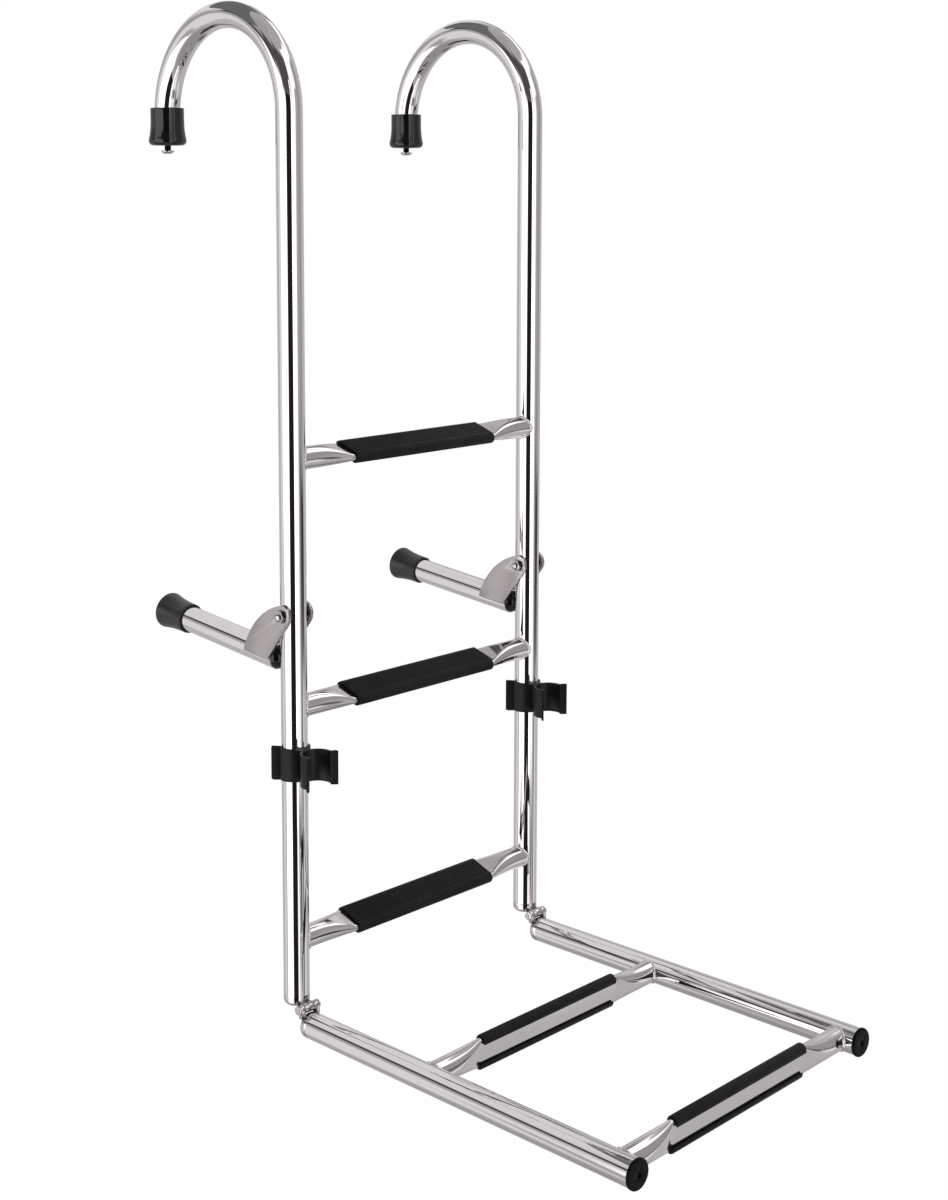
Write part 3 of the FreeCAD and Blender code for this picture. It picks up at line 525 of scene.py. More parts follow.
def pressed_rung_tree() -> NodeTree:
    """Tree that bends a grid into a rung tube pressed flat in its middle.

    The grid's X is the place along the rung, and its index round the section picks a point of a
    stadium outline whose girth never changes. The tube swells fast beside the tread and slowly
    towards the rail, which bounds each flat with a curve like the tip of a leaf.

    Returns:
        The tree.
    """
    tree, given = new_geometry_tree("pressed_rung", {
        "Arc Steps": 24, "Columns": 100, "Half Length": 158 * MM, "Flat Half Length": 98 * MM,
        "Taper Half Length": 145 * MM, "Diameter": 22 * MM, "Flat Thickness": 7 * MM,
        "End Thickness": 21.7 * MM, "Ease": 2.2})
    position = add_node(tree, "GeometryNodeInputPosition")
    along = add_node(tree, "ShaderNodeSeparateXYZ", {0: position}).outputs["X"]
    away = add_node(tree, "ShaderNodeMath", {0: along}, operation="ABSOLUTE")
    known = dict(given.items())
    known["index"] = add_node(tree, "GeometryNodeInputIndex")
    known["pressed"] = add_node(tree, "ShaderNodeMapRange", {
        "Value": away, "From Min": given["Flat Half Length"],
        "From Max": given["Taper Half Length"], "To Min": 1.0, "To Max": 0.0})
    # Each row names a value, the operation that gives it and its two terms; 0.0 fills an idle one
    for label, operation, first, second in (
            ("length", "MULTIPLY", "Half Length", 2.0),
            ("half count", "ADD", "Arc Steps", 1.0),
            ("whole count", "MULTIPLY", "half count", 2.0),
            ("rows", "ADD", "whole count", 1.0),
            ("row", "MODULO", "index", "rows"),
            ("step", "MODULO", "row", "whole count"),
            ("halves", "DIVIDE", "step", "half count"),
            ("half", "FLOOR", "halves", 0.0),
            ("place", "MODULO", "step", "half count"),
            ("turn", "DIVIDE", "place", "Arc Steps"),
            ("half turns", "ADD", "turn", "half"),
            ("from below", "SUBTRACT", "half turns", 0.5),
            ("angle", "MULTIPLY", "from below", math.pi),
            ("squeeze", "SUBTRACT", "End Thickness", "Flat Thickness"),
            ("eased", "POWER", "pressed", "Ease"),
            ("squeezed", "MULTIPLY", "squeeze", "eased"),
            ("thickness", "SUBTRACT", "End Thickness", "squeezed"),
            ("radius", "MULTIPLY", "thickness", 0.5),
            ("spare", "SUBTRACT", "Diameter", "thickness"),
            ("flat", "MULTIPLY", "spare", math.pi / 4),
            ("two halves", "MULTIPLY", "half", 2.0),
            ("side", "SUBTRACT", 1.0, "two halves"),
            ("cosine", "COSINE", "angle", 0.0),
            ("round part", "MULTIPLY", "radius", "cosine"),
            ("flat part", "MULTIPLY", "flat", "side"),
            ("out", "ADD", "round part", "flat part"),
            ("sine", "SINE", "angle", 0.0),
            ("up", "MULTIPLY", "radius", "sine")):
        known[label] = add_node(tree, "ShaderNodeMath", {
            0: known.get(first, first), 1: known.get(second, second)}, operation=operation)
    grid = add_node(tree, "GeometryNodeMeshGrid", {
        "Size X": known["length"], "Size Y": 1.0,
        "Vertices X": given["Columns"], "Vertices Y": known["rows"]})
    bent = add_node(tree, "ShaderNodeCombineXYZ", {
        "X": along, "Y": known["out"], "Z": known["up"]})
    placed = add_node(tree, "GeometryNodeSetPosition", {0: grid, "Position": bent})
    joined = add_node(tree, "GeometryNodeMergeByDistance", {0: placed, "Distance": SAME_PLACE})
    stored = add_node(tree, "GeometryNodeStoreNamedAttribute", {
        "Geometry": joined, "Name": GRAIN, "Value": position},
        data_type="FLOAT_VECTOR", domain="POINT")
    close_geometry_tree(tree, given, stored)
    return tree


def edge_path(name: str, points: Sequence[Vector]) -> Mesh:
    """Mesh of edges through points in order.

    Args:
        name: the mesh's name.
        points: the path's points.

    Returns:
        The mesh.
    """
    mesh = bpy.data.meshes.new(name)
    mesh.from_pydata([tuple(point) for point in points],
                     [(index, index + 1) for index in range(len(points) - 1)], [])
    return mesh


def arc_points(centre: tuple[float, float], radius: float, start: float, stop: float,
               steps: int) -> list[tuple[float, float]]:
    """Points of an arc in a plane, both ends included.

    Args:
        centre: the arc's centre.
        radius: its radius.
        start: its first angle in degrees.
        stop: its last angle in degrees.
        steps: the number of steps between them.

    Returns:
        The points as pairs.
    """
    angles = [math.radians(start + (stop - start) * index / steps) for index in range(steps + 1)]
    return [(centre[0] + radius * math.cos(a), centre[1] + radius * math.sin(a)) for a in angles]


def softened_mesh(node: Object, name: str, edge: float) -> Mesh:
    """Clean copy of a solid's mesh with its edges softened.

    Args:
        node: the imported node.
        name: name for the copy.
        edge: width of the softened edge in metres.

    Returns:
        The new mesh.
    """
    working = bmesh.new()
    working.from_mesh(node.data)
    bmesh.ops.remove_doubles(working, verts=working.verts, dist=SAME_PLACE)
    bmesh.ops.dissolve_limit(working, angle_limit=math.radians(FLAT_TURN), verts=working.verts,
                             edges=working.edges)
    mesh = bpy.data.meshes.new(name)
    working.to_mesh(mesh)
    working.free()
    copy = new_object(name + "_raw", mesh)
    softening = copy.modifiers.new("soft_edges", "BEVEL")
    softening.width = edge
    softening.segments = EDGE_FACES
    softening.limit_method = "ANGLE"
    softening.angle_limit = math.radians(EDGE_TURN)
    result = evaluated_mesh(copy)
    smooth_by_angle(result, EDGE_TURN)
    return result


@dataclass
class Ladder:
    """Places and shared sizes of the ladder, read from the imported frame."""

    frame: dict
    rail_radius: float = 12.7 * MM
    standoff_tilt: float = 5.0
    standoff_drop: float = 47 * MM
    made: list[str] = field(default_factory=list)

    def __post_init__(self) -> None:
        """Works out the rails' axes, the pin line and the foot section's place."""
        self.joints = {joint["name"]: joint for joint in self.frame["joints"]}
        low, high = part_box("right_upper_rail")
        self.rail_x = (low.x + high.x) / 2
        self.rail_y = low.y + self.rail_radius
        self.hook_top = high.z - self.rail_radius
        self.hook_end = high.y - self.rail_radius
        self.rail_foot = low.z
        fold = self.joints["lower_section_fold"]
        self.pin = Vector(fold["pos_m"])
        turn = Matrix.Rotation(math.radians(-fold["range_deg"][1]), 4, "X")
        rail_line = Vector((0, self.rail_y, self.pin.z))
        self.upper = Matrix.Translation(rail_line)
        self.foot = Matrix.Translation(self.pin) @ turn @ Matrix.Translation(rail_line - self.pin)

    def standoff(self, side: Side) -> Matrix:
        """Frame of a stand-off: its bolt is the origin, and its tube runs along +Y."""
        pivot = Vector(self.joints[side.word + "_standoff_fold"]["pos_m"])
        tilt = math.radians(self.standoff_tilt)
        return Matrix.Translation(pivot) @ Matrix.Rotation(tilt, 4, "X")

    def dress(self, name: str, mesh: Mesh, body: str, finish: Finish, *nodes: str) -> None:
        """Makes a mesh a piece with its finish and body, which may stand for nodes.

        Args:
            name: the piece's name.
            mesh: its mesh, in its place.
            body: the body that it rides on.
            finish: its finish, with the material slot.
            *nodes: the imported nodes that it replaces.
        """
        piece = new_object(name, mesh)
        slot, surface = finish.value
        mesh.materials.clear()
        mesh.materials.append(surface.material())
        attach(piece, body)
        if nodes:
            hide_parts(*nodes)
        self.made.append(piece.name)
        log.info("%s on %s: %d faces", piece.name, body, len(mesh.polygons))

    def grow(self, name: str, source: Mesh, tree: NodeTree, sizes: dict, body: str, finish: Finish,
             *nodes: str, place: Matrix | None = None, sharp: float | None = None) -> None:
        """Makes a piece of what a Geometry Nodes tree grows on a mesh.

        Args:
            name: the piece's name.
            source: mesh that the tree starts from.
            tree: the Geometry Nodes tree.
            sizes: the tree's named inputs that differ from their defaults.
            body: the body that the piece rides on.
            finish: its finish.
            *nodes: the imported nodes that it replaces.
            place: turns and moves the grown mesh into its place.
            sharp: shades the mesh smooth but for edges that turn by more degrees.
        """
        carrier = new_object(name + "_source", source)
        modifier = carrier.modifiers.new("shape", "NODES")
        modifier.node_group = tree
        values = {"Material": finish.get(), **sizes}
        for item in tree.interface.items_tree:
            if item.name in values:
                modifier[item.identifier] = values[item.name]
        mesh = evaluated_mesh(carrier)
        if place is not None:
            mesh.transform(place)
        if sharp is not None:
            smooth_by_angle(mesh, sharp)
        self.dress(name, mesh, body, finish, *nodes)

    def soften(self, node: str, body: str, finish: Finish, edge: float) -> None:
        """Replaces a node by a clean copy of itself with softened edges."""
        name = node + "_dressed"
        self.dress(name, softened_mesh(self.frame["nodes"][node], name, edge), body, finish, node)


@dataclass
class Tubes:
    """Hooked rails, foot rails and stand-off tubes, each one sweep of the same polished tube."""

    ladder: Ladder
    foot_start: float = 10.2 * MM
    foot_end: float = 408 * MM
    standoff_start: float = 17 * MM
    standoff_end: float = 189.5 * MM
    bend_steps: int = 96
    straight_steps: int = 12
    sharp: float = 40.0

    def build(self) -> None:
        """Builds and dresses every round tube."""
        ladder = self.ladder
        self.tree = swept_tube_tree()
        for side in Side:
            word = side.word
            self._hooked_rail(side)
            x = side.value * ladder.rail_x
            ends = [ladder.foot @ Vector((x, 0, -down))
                    for down in (self.foot_start, self.foot_end)]
            self._sweep(word + "_foot_rail", self._straight(*ends), "lower_section",
                        word + "_lower_rail")
            place = ladder.standoff(side)
            ends = [place @ Vector((0, out, -ladder.standoff_drop))
                    for out in (self.standoff_start, self.standoff_end)]
            self._sweep(word + "_standoff_tube_polished", self._straight(*ends),
                        word + "_standoff", word + "_standoff_tube")

    def _sweep(self, name: str, points: Sequence[Vector], body: str, node: str) -> None:
        """Sweeps the rails' tube along points and dresses it in place of a node."""
        self.ladder.grow(name, edge_path(name + "_path", points), self.tree,
                         {"Radius": self.ladder.rail_radius}, body, Finish.TUBE, node,
                         sharp=self.sharp)

    def _straight(self, start: Vector, stop: Vector) -> list[Vector]:
        """Evenly spaced points of a straight run, both ends included."""
        return [start.lerp(stop, i / self.straight_steps) for i in range(self.straight_steps + 1)]

    def _hooked_rail(self, side: Side) -> None:
        """Builds an upper rail: up from the hinge, half round the hook and down to its tip.

        Args:
            side: the rail's side.
        """
        ladder = self.ladder
        x = side.value * ladder.rail_x
        radius = (ladder.hook_end - ladder.rail_y) / 2
        centre = (ladder.rail_y + radius, ladder.hook_top - radius)
        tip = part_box(side.word + "_hook_stud")[1].z
        points = self._straight(Vector((x, ladder.rail_y, ladder.rail_foot)),
                                Vector((x, ladder.rail_y, centre[1])))[:-1]
        bend = arc_points(centre, radius, 180, 0, self.bend_steps)
        points += [Vector((x, y, z)) for y, z in bend]
        points.append(Vector((x, ladder.hook_end, tip)))
        self._sweep(side.word + "_hooked_rail", points, "upper_section",
                    side.word + "_upper_rail")


@dataclass(frozen=True)
class Step:
    """Place of one rung with its tread: the flat leans forward, the welded ends don't."""

    number: int
    body: str
    level: Matrix
    lean: float

    @property
    def leaning(self) -> Matrix:
        """Frame of the leaning flat, whose own Z is square to the tread."""
        return self.level @ Matrix.Rotation(math.radians(self.lean), 4, "X")

    def node(self, piece: str) -> str:
        """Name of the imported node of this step's rung or tread."""
        return "%s_%s_%d" % (self.body.split("_")[0], piece, self.number)


@dataclass
class Steps:
    """The five steps, three on the hooked rails and two on the foot section."""

    ladder: Ladder
    upper_lean: float = 19.0
    foot_lean: float = 10.0
    foot_depths: tuple[float, float] = (164 * MM, 389 * MM)

    def all(self) -> list[Step]:
        """Works out where every rung lies.

        Returns:
            The steps from the top down.
        """
        steps = []
        for number in (1, 2, 3):
            height = sum(c.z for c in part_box("upper_rung_%d" % number)) / 2 - self.ladder.pin.z
            level = self.ladder.upper @ Matrix.Translation((0, 0, height))
            steps.append(Step(number, "upper_section", level, self.upper_lean))
        for number, depth in zip((4, 5), self.foot_depths):
            level = self.ladder.foot @ Matrix.Translation((0, 0, -depth))
            steps.append(Step(number, "lower_section", level, self.foot_lean))
        return steps


@dataclass
class Rungs:
    """Rung tubes pressed flat in the middle, and the polished welds that join them to the rails."""

    ladder: Ladder
    steps: list[Step]
    diameter: float = 22 * MM
    flat_thickness: float = 7 * MM
    end_thickness: float = 21.7 * MM
    flat_half: float = 98 * MM
    taper_gap: float = 5 * MM
    sharp: float = 40.0
    weld_radius: float = 1.5 * MM
    weld_steps: int = 72
    weld_sides: int = 12
    weld_sharp: float = 60.0

    def build(self) -> None:
        """Builds the rungs of both sections with their welds."""
        self.tree = pressed_rung_tree()
        self.tube = swept_tube_tree()
        for step in self.steps:
            self._rung(step)
            for side in Side:
                self._weld(step, side)

    def _rung(self, step: Step) -> None:
        """Builds one rung in place of its node.

        Args:
            step: the rung's place.
        """
        ladder = self.ladder
        radius = ladder.rail_radius
        node = step.node("rung")
        ladder.grow(node + "_pressed", bpy.data.meshes.new(node + "_seed"), self.tree, {
            "Half Length": ladder.rail_x - radius / 2, "Flat Half Length": self.flat_half,
            "Taper Half Length": ladder.rail_x - radius - self.taper_gap,
            "Diameter": self.diameter, "Flat Thickness": self.flat_thickness,
            "End Thickness": self.end_thickness}, step.body, Finish.RUNG, node,
            place=step.leaning, sharp=self.sharp)

    def _weld(self, step: Step, side: Side) -> None:
        """Builds the slim polished weld where a rung meets its rail.

        Args:
            step: the rung's place.
            side: the rail's side.
        """
        ladder = self.ladder
        ring = []
        for index in range(self.weld_steps + 1):
            angle = math.tau * index / self.weld_steps
            y = self.end_thickness / 2 * math.cos(angle)
            z = self.end_thickness / 2 * math.sin(angle)
            x = ladder.rail_x - math.sqrt(ladder.rail_radius ** 2 - y ** 2)
            ring.append(Vector((side.value * x, y, z)))
        name = "%s_%s_weld" % (step.node("rung"), side.word)
        ladder.grow(name, edge_path(name + "_path", ring), self.tube, {
            "Radius": self.weld_radius, "Sides": self.weld_sides}, step.body, Finish.TUBE,
            place=step.level, sharp=self.weld_sharp)


@dataclass
class TreadPads:
    """Rubber treads: channels with a ribbed top that are pushed over the rungs' flats."""

    ladder: Ladder
    steps: list[Step]
    length: float = 189 * MM
    flat_half: float = math.pi * 15 / 4 * MM
    seat_radius: float = 3.65 * MM
    seat_steps: int = 20
    wall: float = 2.4 * MM
    lip_end: float = 11.13 * MM
    lip_steps: int = 8
    groove_count: int = 12
    groove_pitch: float = 1.9 * MM
    groove_width: float = 1.15 * MM
    groove_depth: float = 0.5 * MM
    groove_fullness: float = 0.7
    groove_half_steps: int = 3
    soft_end: float = 0.5 * MM
    soft_share: float = 0.3
    side_steps: int = 72
    side_groove: float = 0.3 * MM
    side_groove_turn: float = 4.0
    side_grooves: tuple[int, ...] = (-30, -8, 12, 32, 52, 72)
    sharp: float = 50.0

    def build(self) -> None:
        """Builds the five tread pads."""
        for step in self.steps:
            self._pad(step)

    def _top(self) -> list[tuple[float, float]]:
        """Draws the ribbed top of the section, with rounded grooves.

        Returns:
            Its points from +Y to -Y.
        """
        top = self.seat_radius + self.wall
        points = []
        first = (self.groove_count - 1) / 2 * self.groove_pitch
        for index in range(self.groove_count):
            centre = first - index * self.groove_pitch
            for step in range(2 * self.groove_half_steps + 1):
                share = step / self.groove_half_steps - 1
                slope = math.cos(share * math.pi / 2) if abs(share) < 1 else 0.0
                bowl = slope ** self.groove_fullness
                points.append((centre - share * self.groove_width / 2,
                               top - self.groove_depth * bowl))
        return points

    def _side(self, sign: int) -> list[tuple[float, float]]:
        """Draws an outer round side of the section, with fine moulded lines.

        Args:
            sign: 1 for the side at +Y, -1 for the other.

        Returns:
            Its points from the lip to the top.
        """
        outer = self.seat_radius + self.wall
        points = []
        for step in range(self.side_steps + 1):
            angle = 180 * step / self.side_steps - 90
            reach = outer - sum(
                self.side_groove * math.exp(-((angle - middle) / self.side_groove_turn) ** 2)
                for middle in self.side_grooves)
            turn = math.radians(angle)
            points.append((sign * (self.flat_half + reach * math.cos(turn)),
                           reach * math.sin(turn)))
        return points

    def _section(self) -> list[tuple[float, float]]:
        """Draws the closed outline of the channel in its own plane.

        Returns:
            Its points, counter-clockwise.
        """
        outer = self.seat_radius + self.wall
        middle = -(self.seat_radius + outer) / 2
        lip = arc_points((self.lip_end, middle), self.wall / 2, 90, 270, self.lip_steps)
        seat = arc_points((self.flat_half, 0), self.seat_radius, 90, -90, self.seat_steps)
        mirrored_lip, mirrored_seat = ([(-y, z) for y, z in reversed(arc)] for arc in (lip, seat))
        return (lip[1:] + self._side(1) + self._top() + self._side(-1)[::-1] + mirrored_lip
                + mirrored_seat + seat[:-1])

    def _pad(self, step: Step) -> None:
        """Builds one pad in place of its node.

        Args:
            step: the pad's place.
        """
        node = step.node("tread")
        section = [Vector((0, y, z)) for y, z in self._section()]
        following = section[1:] + section[:1]
        inward = []
        for index, after in enumerate(following):
            run = (after - section[index - 1]).normalized()
            inward.append(Vector((0, -run.z, run.y)))
        half, soft, part = self.length / 2, self.soft_end, self.soft_share * self.soft_end
        working = bmesh.new()
        loops = [[working.verts.new((x, *(point + way * inset).yz))
                  for point, way in zip(section, inward)]
                 for x, inset in ((-half, soft), (-half + part, part), (-half + soft, 0),
                                  (half - soft, 0), (half - part, part), (half, soft))]
        for first, second in zip(loops, loops[1:]):
            for index in range(len(section)):
                after = (index + 1) % len(section)
                working.faces.new((first[index], first[after], second[after], second[index]))
        for loop in (loops[0], loops[-1]):
            working.faces.new(loop)
        bmesh.ops.recalc_face_normals(working, faces=working.faces)
        mesh = bpy.data.meshes.new(node + "_ribbed")
        working.to_mesh(mesh)
        working.free()
        mesh.transform(step.leaning)
        smooth_by_angle(mesh, self.sharp)
        self.ladder.dress(node + "_ribbed", mesh, step.body, Finish.TREAD_RUBBER, node)


@dataclass
class StandOffs:
    """Swinging stand-offs: ears with their welds, rubber cap, bumper and bolt."""

    ladder: Ladder
    bead_start: float = 17.5 * MM
    bead_end: float = 53 * MM
    bead_side: float = 13.4 * MM

    def build(self) -> None:
        """Dresses both stand-offs and lays the welds under their ears."""
        self.ripples = bead_tree()
        for side in Side:
            name = side.word + "_standoff"
            for part, body, finish, edge in (
                    ("bracket", name, Finish.PLATE, 0.35 * MM),
                    ("cap", name, Finish.CAP_RUBBER, 0.4 * MM),
                    ("bumper", name, Finish.GLOSS_RUBBER, 1.2 * MM),
                    ("bolt", "upper_section", Finish.CASTING, 0.4 * MM)):
                self.ladder.soften("%s_%s" % (name, part), body, finish, edge)
            for ear in (-1, 1):
                self._bead(side, ear)

    def _bead(self, side: Side, ear: int) -> None:
        """Lays the rippled weld along the foot of one ear.

        Args:
            side: the stand-off's side.
            ear: the sign of the ear's X from the tube.
        """
        place = self.ladder.standoff(side)
        ends = [place @ Vector((ear * self.bead_side, y, -self.ladder.standoff_drop))
                for y in (self.bead_start, self.bead_end)]
        name = "%s_standoff_%s_bead" % (side.word, "outer" if ear == side.value else "inner")
        self.ladder.grow(name, edge_path(name + "_path", ends), self.ripples, {},
                         side.word + "_standoff", Finish.CASTING)


@dataclass
class Fittings:
    """Turned, cast and moulded pieces: caps, studs, clips, hinge fittings, pins and plugs."""

    ladder: Ladder
    rivet_height: float = 6.6 * MM
    rivet_radius: float = 2.3 * MM
    rivet_dome: float = 0.35 * MM
    rivet_sink: float = 0.05 * MM

    def build(self) -> None:
        """Dresses the fittings of both sides."""
        self.rivets = rivet_tree()
        for side in Side:
            for node, body, finish, edge in (
                    ("hook_cap", "upper_section", Finish.GLOSS_RUBBER, 0.5 * MM),
                    ("hook_stud", "upper_section", Finish.CASTING, 0.3 * MM),
                    ("rail_clip", "upper_section", Finish.CLIP_PLASTIC, 0.45 * MM),
                    ("upper_hinge", "upper_section", Finish.CASTING, 0.35 * MM),
                    ("lower_hinge", "lower_section", Finish.CASTING, 0.35 * MM),
                    ("hinge_pin", "lower_section", Finish.CASTING, 0.3 * MM),
                    ("end_plug", "lower_section", Finish.PLUG_PLASTIC, 0.3 * MM)):
                self.ladder.soften("%s_%s" % (side.word, node), body, finish, edge)
            self._rivet_pair(side, "upper_section", self.ladder.upper, 1)
            self._rivet_pair(side, "lower_section", self.ladder.foot, -1)

    def _rivet_pair(self, side: Side, body: str, place: Matrix, way: int) -> None:
        """Sets the rivet that holds a hinge fitting, whose two heads show on its flanks.

        Args:
            side: the rail's side.
            body: the fitting's body.
            place: frame of the section, with the pin line's height at 0.
            way: 1 when the rail runs up from the pins, -1 when it runs down.
        """
        reach = self.ladder.rail_radius - self.rivet_sink
        mesh = bpy.data.meshes.new("rivet_places")
        mesh.from_pydata([(side.value * self.ladder.rail_x + flank * reach, 0,
                           way * self.rivet_height) for flank in (-1, 1)], [], [])
        self.ladder.grow("%s_%s_rivets" % (side.word, body), mesh, self.rivets, {
            "Radius": self.rivet_radius, "Height": self.rivet_dome}, body, Finish.CASTING,
            place=place)


@dataclass
class Recesses:
    """Corners and gaps between the castings, where shade is painted into their colour."""

    ladder: Ladder
    rays: int = 20
    lift: float = 0.12 * MM
    reach: float = 8 * MM
    open_share: float = 0.32
    dark_share: float = 0.58

    def shade(self) -> None:
        """Stores on each casting how closed in every vertex is, from a fan of even rays."""
        pieces = [bpy.data.objects[name] for name in self.ladder.made]
        castings = [piece for piece in pieces if piece.data.materials[0] == Finish.CASTING.get()]
        vertices, polygons = [], []
        for piece in pieces:
            first = len(vertices)
            vertices.extend(vertex.co.copy() for vertex in piece.data.vertices)
            polygons.extend([first + index for index in polygon.vertices]
                            for polygon in piece.data.polygons)
        around = BVHTree.FromPolygons(vertices, polygons)
        golden_angle = math.pi * (3 - math.sqrt(5))
        fan = []
        for index in range(self.rays):
            rise = 1 - (index + 0.5) / self.rays
            spread = math.sqrt(1 - rise * rise)
            turn = index * golden_angle
            fan.append(Vector((spread * math.cos(turn), spread * math.sin(turn), rise)))
        for piece in castings:
            mesh = piece.data
            closed = []
            for vertex in mesh.vertices:
                frame = vertex.normal.to_track_quat("Z", "Y").to_matrix()
                start = vertex.co + vertex.normal * self.lift
                hits = sum(around.ray_cast(start, frame @ way, self.reach)[0] is not None
                           for way in fan)
                share = (hits / self.rays - self.open_share) / (self.dark_share - self.open_share)
                closed.append(min(1.0, max(0.0, share)))
            mesh.attributes.new(RECESS, "FLOAT", "POINT").data.foreach_set("value", closed)


@dataclass(frozen=True)
class Panel:
    """White sheet or dark gap of the studio, as the ladder's polished tubes see it.

    Bearings are degrees to the right of the camera, seen from the ladder, and heights are degrees
    above the horizon. The blur softens the edges by as many degrees.
    """

    left: float
    right: float
    low: float
    high: float
    level: float
    blur: float


def panel_tree() -> NodeTree:
    """Shader group that paints one soft-edged panel over the level behind it.

    Returns:
        The group.
    """
    tree = bpy.data.node_groups.new("studio_panel", "ShaderNodeTree")
    for label in ("Bearing", "Height", "Left", "Right", "Low", "High", "Level", "Blur", "Behind"):
        tree.interface.new_socket(label, in_out="INPUT", socket_type="NodeSocketFloat")
    tree.interface.new_socket("Level", in_out="OUTPUT", socket_type="NodeSocketFloat")
    given = add_node(tree, "NodeGroupInput").outputs
    cover = 1.0
    for value, edge, beyond in (("Bearing", "Left", 1.0), ("Bearing", "Right", 0.0),
                                ("Height", "Low", 1.0), ("Height", "High", 0.0)):
        start, stop = (add_node(tree, "ShaderNodeMath", {0: given[edge], 1: given["Blur"]},
                                operation=operation) for operation in ("SUBTRACT", "ADD"))
        side = add_node(tree, "ShaderNodeMapRange", {
            "Value": given[value], "From Min": start, "From Max": stop,
            "To Min": 1.0 - beyond, "To Max": beyond}, interpolation_type="SMOOTHSTEP")
        cover = add_node(tree, "ShaderNodeMath", {0: cover, 1: side}, operation="MULTIPLY")
    change = add_node(tree, "ShaderNodeMath", {0: given["Level"], 1: given["Behind"]},
                      operation="SUBTRACT")
    shown = add_node(tree, "ShaderNodeMath", {0: cover, 1: change, 2: given["Behind"]},
                     operation="MULTIPLY_ADD")
    add_node(tree, "NodeGroupOutput", {"Level": shown})
    return tree


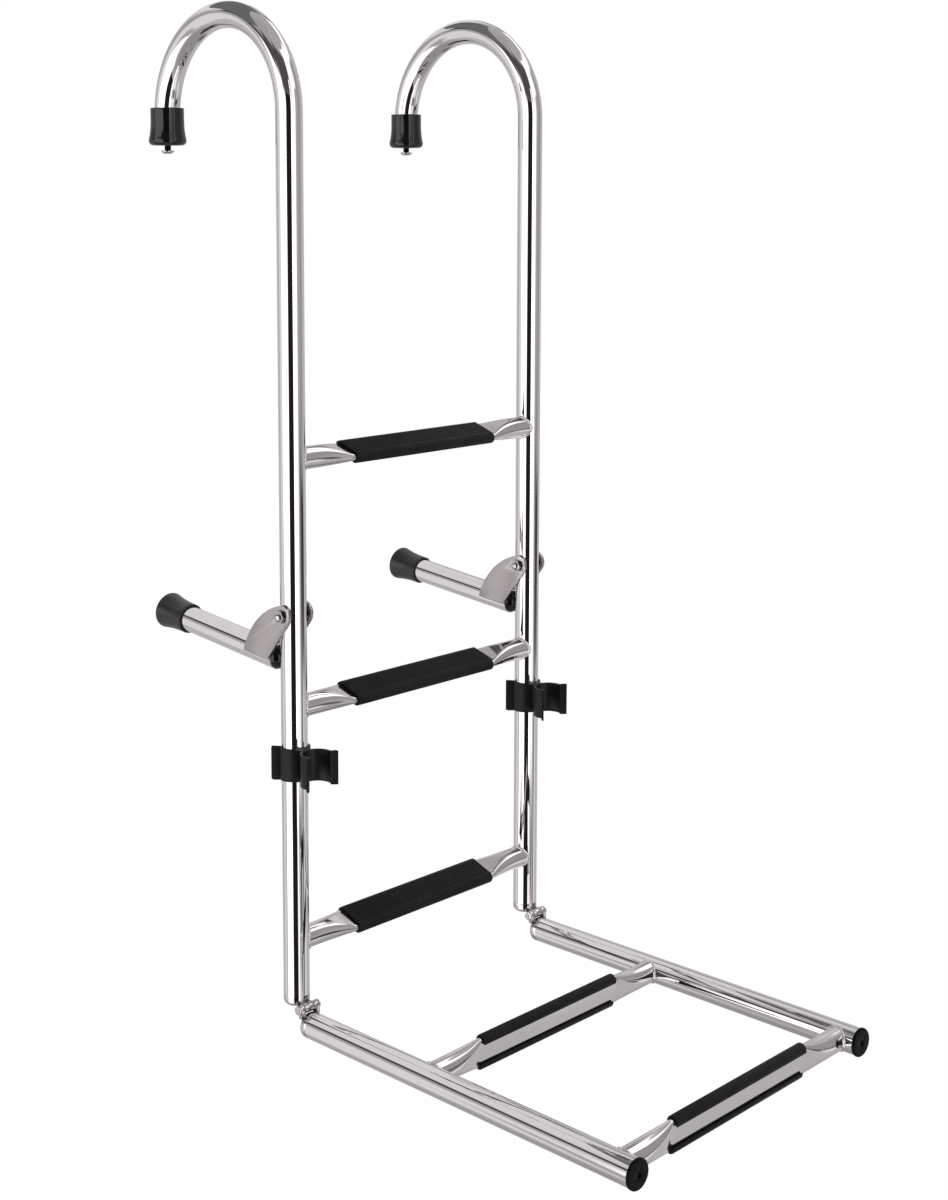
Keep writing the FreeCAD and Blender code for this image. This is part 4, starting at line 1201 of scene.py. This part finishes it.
@dataclass
class Studio:
    """Pale floor, soft light and the camera at the photograph's place.

    Each panel covers the ones before it.
    """

    ladder: Ladder
    frame_size: tuple[int, int] = (948, 1200)
    focal_px: float = 1847.1
    centre_px: tuple[float, float] = (424.3, 395.0)
    azimuth: float = -44.2
    elevation: float = 7.0
    distance: float = 1850.2 * MM
    clip_end: float = 60.0
    target_x: float = 9.8 * MM
    target_above_rung: float = 46.3 * MM
    light_target: tuple[float, float, float] = (0.0, 0.0, 0.45)
    floor_half: float = 9.0
    base_level: float = 0.6
    tint: tuple[float, float, float] = (1.0, 0.965, 0.983)
    panels: tuple[Panel, ...] = (
        Panel(-200, 200, -100, -48, 0.36, 14.0),
        Panel(-200, -95, 15, 60, 0.86, 6.0),
        Panel(-108, -60, -38, 35, 0.90, 5.0),
        Panel(-200, 200, 56, 100, 0.50, 6.0),
        Panel(-140, -83, 8, 24, 0.45, 4.0),
        Panel(-88, -21, 20, 100, 0.45, 4.0),
        Panel(-80, -21, -45, 20, 1.9, 2.0),
        Panel(-86, -75, -42, -12, 0.48, 3.0),
        Panel(165, 200, -60, -37, 0.15, 4.0),
        Panel(-101, -52, 20, 30, 0.06, 2.5),
        Panel(-66, -30, 26, 44, 0.09, 4.0),
        Panel(23, 60, -60, 60, 1.5, 1.5),
        Panel(60, 80, -14, 20, 0.5, 2.0),
        Panel(60, 100, 22, 60, 1.4, 2.0),
        Panel(80, 112, -10, 41, 0.40, 3.0),
        Panel(80, 110, -15.5, -9.5, 0.06, 1.0),
        Panel(85, 100, -32, -16.5, 0.95, 4.0),
        Panel(37, 62, -30, -19, 0.15, 2.0),
        Panel(100, 158, 40, 52, 1.8, 1.2),
        Panel(150, 165, 25, 34, 0.85, 1.5),
        Panel(167, 200, 25, 34, 0.38, 1.5),
        Panel(158, 167, 33.5, 41, 0.04, 0.8),
        Panel(-34, 32, 14, 54, 0.09, 5.0),
        Panel(74, 83, -26, -8, 0.12, 1.5),
        Panel(-19.5, 21, -40, 16, 0.016, 0.7),
        Panel(22.0, 25.5, -20, 30, 3.2, 0.7))
    flag_left: float = -830 * MM
    flag_right: float = 250 * MM
    flag_centre: tuple[float, float] = (556 * MM, 1476 * MM)
    flag_half: float = 228 * MM
    flag_level: float = 0.17

    def build(self) -> None:
        """Builds the floor, the surroundings, the lights and the camera."""
        bpy.context.scene.view_settings.view_transform = "Standard"
        self._floor()
        self._flag()
        self._surroundings()
        self._lights()
        self._camera()

    def _sheet(self, name: str, points: Sequence[tuple], surface: StudioSheet) -> Object:
        """Makes a four-cornered sheet of the studio.

        Args:
            name: the sheet's name.
            points: its corners in order.
            surface: its look.

        Returns:
            The sheet, which is no piece of the ladder.
        """
        mesh = bpy.data.meshes.new(name)
        mesh.from_pydata(points, [], [(0, 1, 2, 3)])
        mesh.materials.append(surface.material())
        sheet = new_object(name, mesh)
        return sheet

    def _floor(self) -> None:
        """Lays the floor under the ladder: plain matt white, like a lit paper sweep."""
        half = self.floor_half
        floor = self._sheet("floor", [(-half, -half, 0), (half, -half, 0), (half, half, 0),
                                      (-half, half, 0)],
                            StudioSheet("studio_floor", "fbfbfb", 0.9, 0.1, 0.6))
        # The camera looks through it, so a foot section that hangs down past it stays in view
        floor.visible_camera = floor.visible_glossy = False

    def _flag(self) -> None:
        """Hangs a dark card above and behind the hooks, which only their polished bends show."""
        across, up = self.flag_centre
        half = self.flag_half * math.sqrt(0.5)
        left, right = self.flag_left, self.flag_right
        flag = self._sheet("flag", [(x, across - way * half, up + way * half) for x, way in (
            (left, -1), (right, -1), (right, 1), (left, 1))],
            StudioSheet("studio_flag", "000000", 1.0, 0.0, self.flag_level))
        flag.visible_camera = flag.visible_diffuse = flag.visible_shadow = False

    def _surroundings(self) -> None:
        """Studio round the ladder: white sheets with dark gaps, which only the reflections show."""
        world = bpy.data.worlds.new("studio")
        bpy.context.scene.world = world
        world.use_nodes = True
        tree = world.node_tree
        tree.nodes.clear()
        direction = add_node(tree, "ShaderNodeTexCoord").outputs["Generated"]
        turned = add_node(tree, "ShaderNodeVectorRotate", {
            "Vector": direction, "Angle": math.radians(-self.azimuth)}, rotation_type="Z_AXIS")
        split = add_node(tree, "ShaderNodeSeparateXYZ", {0: turned}).outputs
        ahead = add_node(tree, "ShaderNodeMath", {0: split["Y"], 1: -1.0}, operation="MULTIPLY")
        around = add_node(tree, "ShaderNodeMath", {0: split["X"], 1: ahead}, operation="ARCTAN2")
        above = add_node(tree, "ShaderNodeMath", {0: split["Z"]}, operation="ARCSINE")
        bearing, height = (add_node(tree, "ShaderNodeMath", {0: angle}, operation="DEGREES")
                           for angle in (around, above))
        group = panel_tree()
        level = self.base_level
        for panel in self.panels:
            edges = {label.capitalize(): value for label, value in asdict(panel).items()}
            level = add_node(tree, "ShaderNodeGroup", {
                "Bearing": bearing, "Height": height, "Behind": level, **edges}, node_tree=group)
        lilac = add_node(tree, "ShaderNodeVectorMath", {0: self.tint, "Scale": level},
                         operation="SCALE")
        seen = add_node(tree, "ShaderNodeLightPath").outputs["Is Camera Ray"]
        shown = add_node(tree, "ShaderNodeMix", {
            "Factor": seen, MIX_A: lilac, MIX_B: (1.0, 1.0, 1.0, 1.0)}, data_type="RGBA")
        light = add_node(tree, "ShaderNodeBackground", {"Color": shown, "Strength": 1.0})
        add_node(tree, "ShaderNodeOutputWorld", {"Surface": light})

    def _lights(self) -> None:
        """Hangs soft lights above and at both sides, which the polished steel doesn't show."""
        for name, place, size, power in (
                ("key", (-1.8, -1.9, 2.4), 1.6, 60.0), ("fill", (2.2, -1.2, 1.6), 1.4, 30.0),
                ("top", (0.2, 0.6, 3.2), 2.4, 70.0)):
            data = bpy.data.lights.new(name, "AREA")
            data.shape = "SQUARE"
            data.size = size
            data.energy = power
            lamp = new_object(name, data)
            lamp.visible_glossy = False
            lamp.location = place
            aim = Vector(self.light_target) - Vector(place)
            lamp.rotation_euler = aim.to_track_quat("-Z", "Y").to_euler()

    def _camera(self) -> None:
        """Sets the camera at the photograph's place, height and lens."""
        width, height = self.frame_size
        data = bpy.data.cameras.new("camera")
        # The sensor's width spans the longer side of the picture, its height
        data.lens = self.focal_px * data.sensor_width / height
        data.shift_x = (width / 2 - self.centre_px[0]) / height
        data.shift_y = (self.centre_px[1] - height / 2) / height
        data.clip_end = self.clip_end
        camera = new_object("camera", data)
        rung = sum(c.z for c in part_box("upper_rung_1")) / 2
        target = Vector((self.target_x, self.ladder.rail_y, rung + self.target_above_rung))
        azimuth, elevation = math.radians(self.azimuth), math.radians(self.elevation)
        back = Vector((math.sin(azimuth) * math.cos(elevation),
                       -math.cos(azimuth) * math.cos(elevation), math.sin(elevation)))
        camera.location = target + back * self.distance
        camera.rotation_euler = (-back).to_track_quat("-Z", "Y").to_euler()
        bpy.context.scene.camera = camera


def main() -> None:
    """Loads the frame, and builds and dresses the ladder."""
    logging.basicConfig(level=logging.INFO, format="%(name)s %(message)s")
    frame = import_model()
    ladder = Ladder(frame)
    steps = Steps(ladder).all()
    for assembly in (Tubes(ladder), Rungs(ladder, steps), TreadPads(ladder, steps),
                     StandOffs(ladder), Fittings(ladder), Studio(ladder)):
        assembly.build()
    # Paints shade into the castings' recesses, through the recess attribute
    Recesses(ladder).shade()
    log.info("%d pieces", len(ladder.made))


if __name__ == "__main__":
    main()
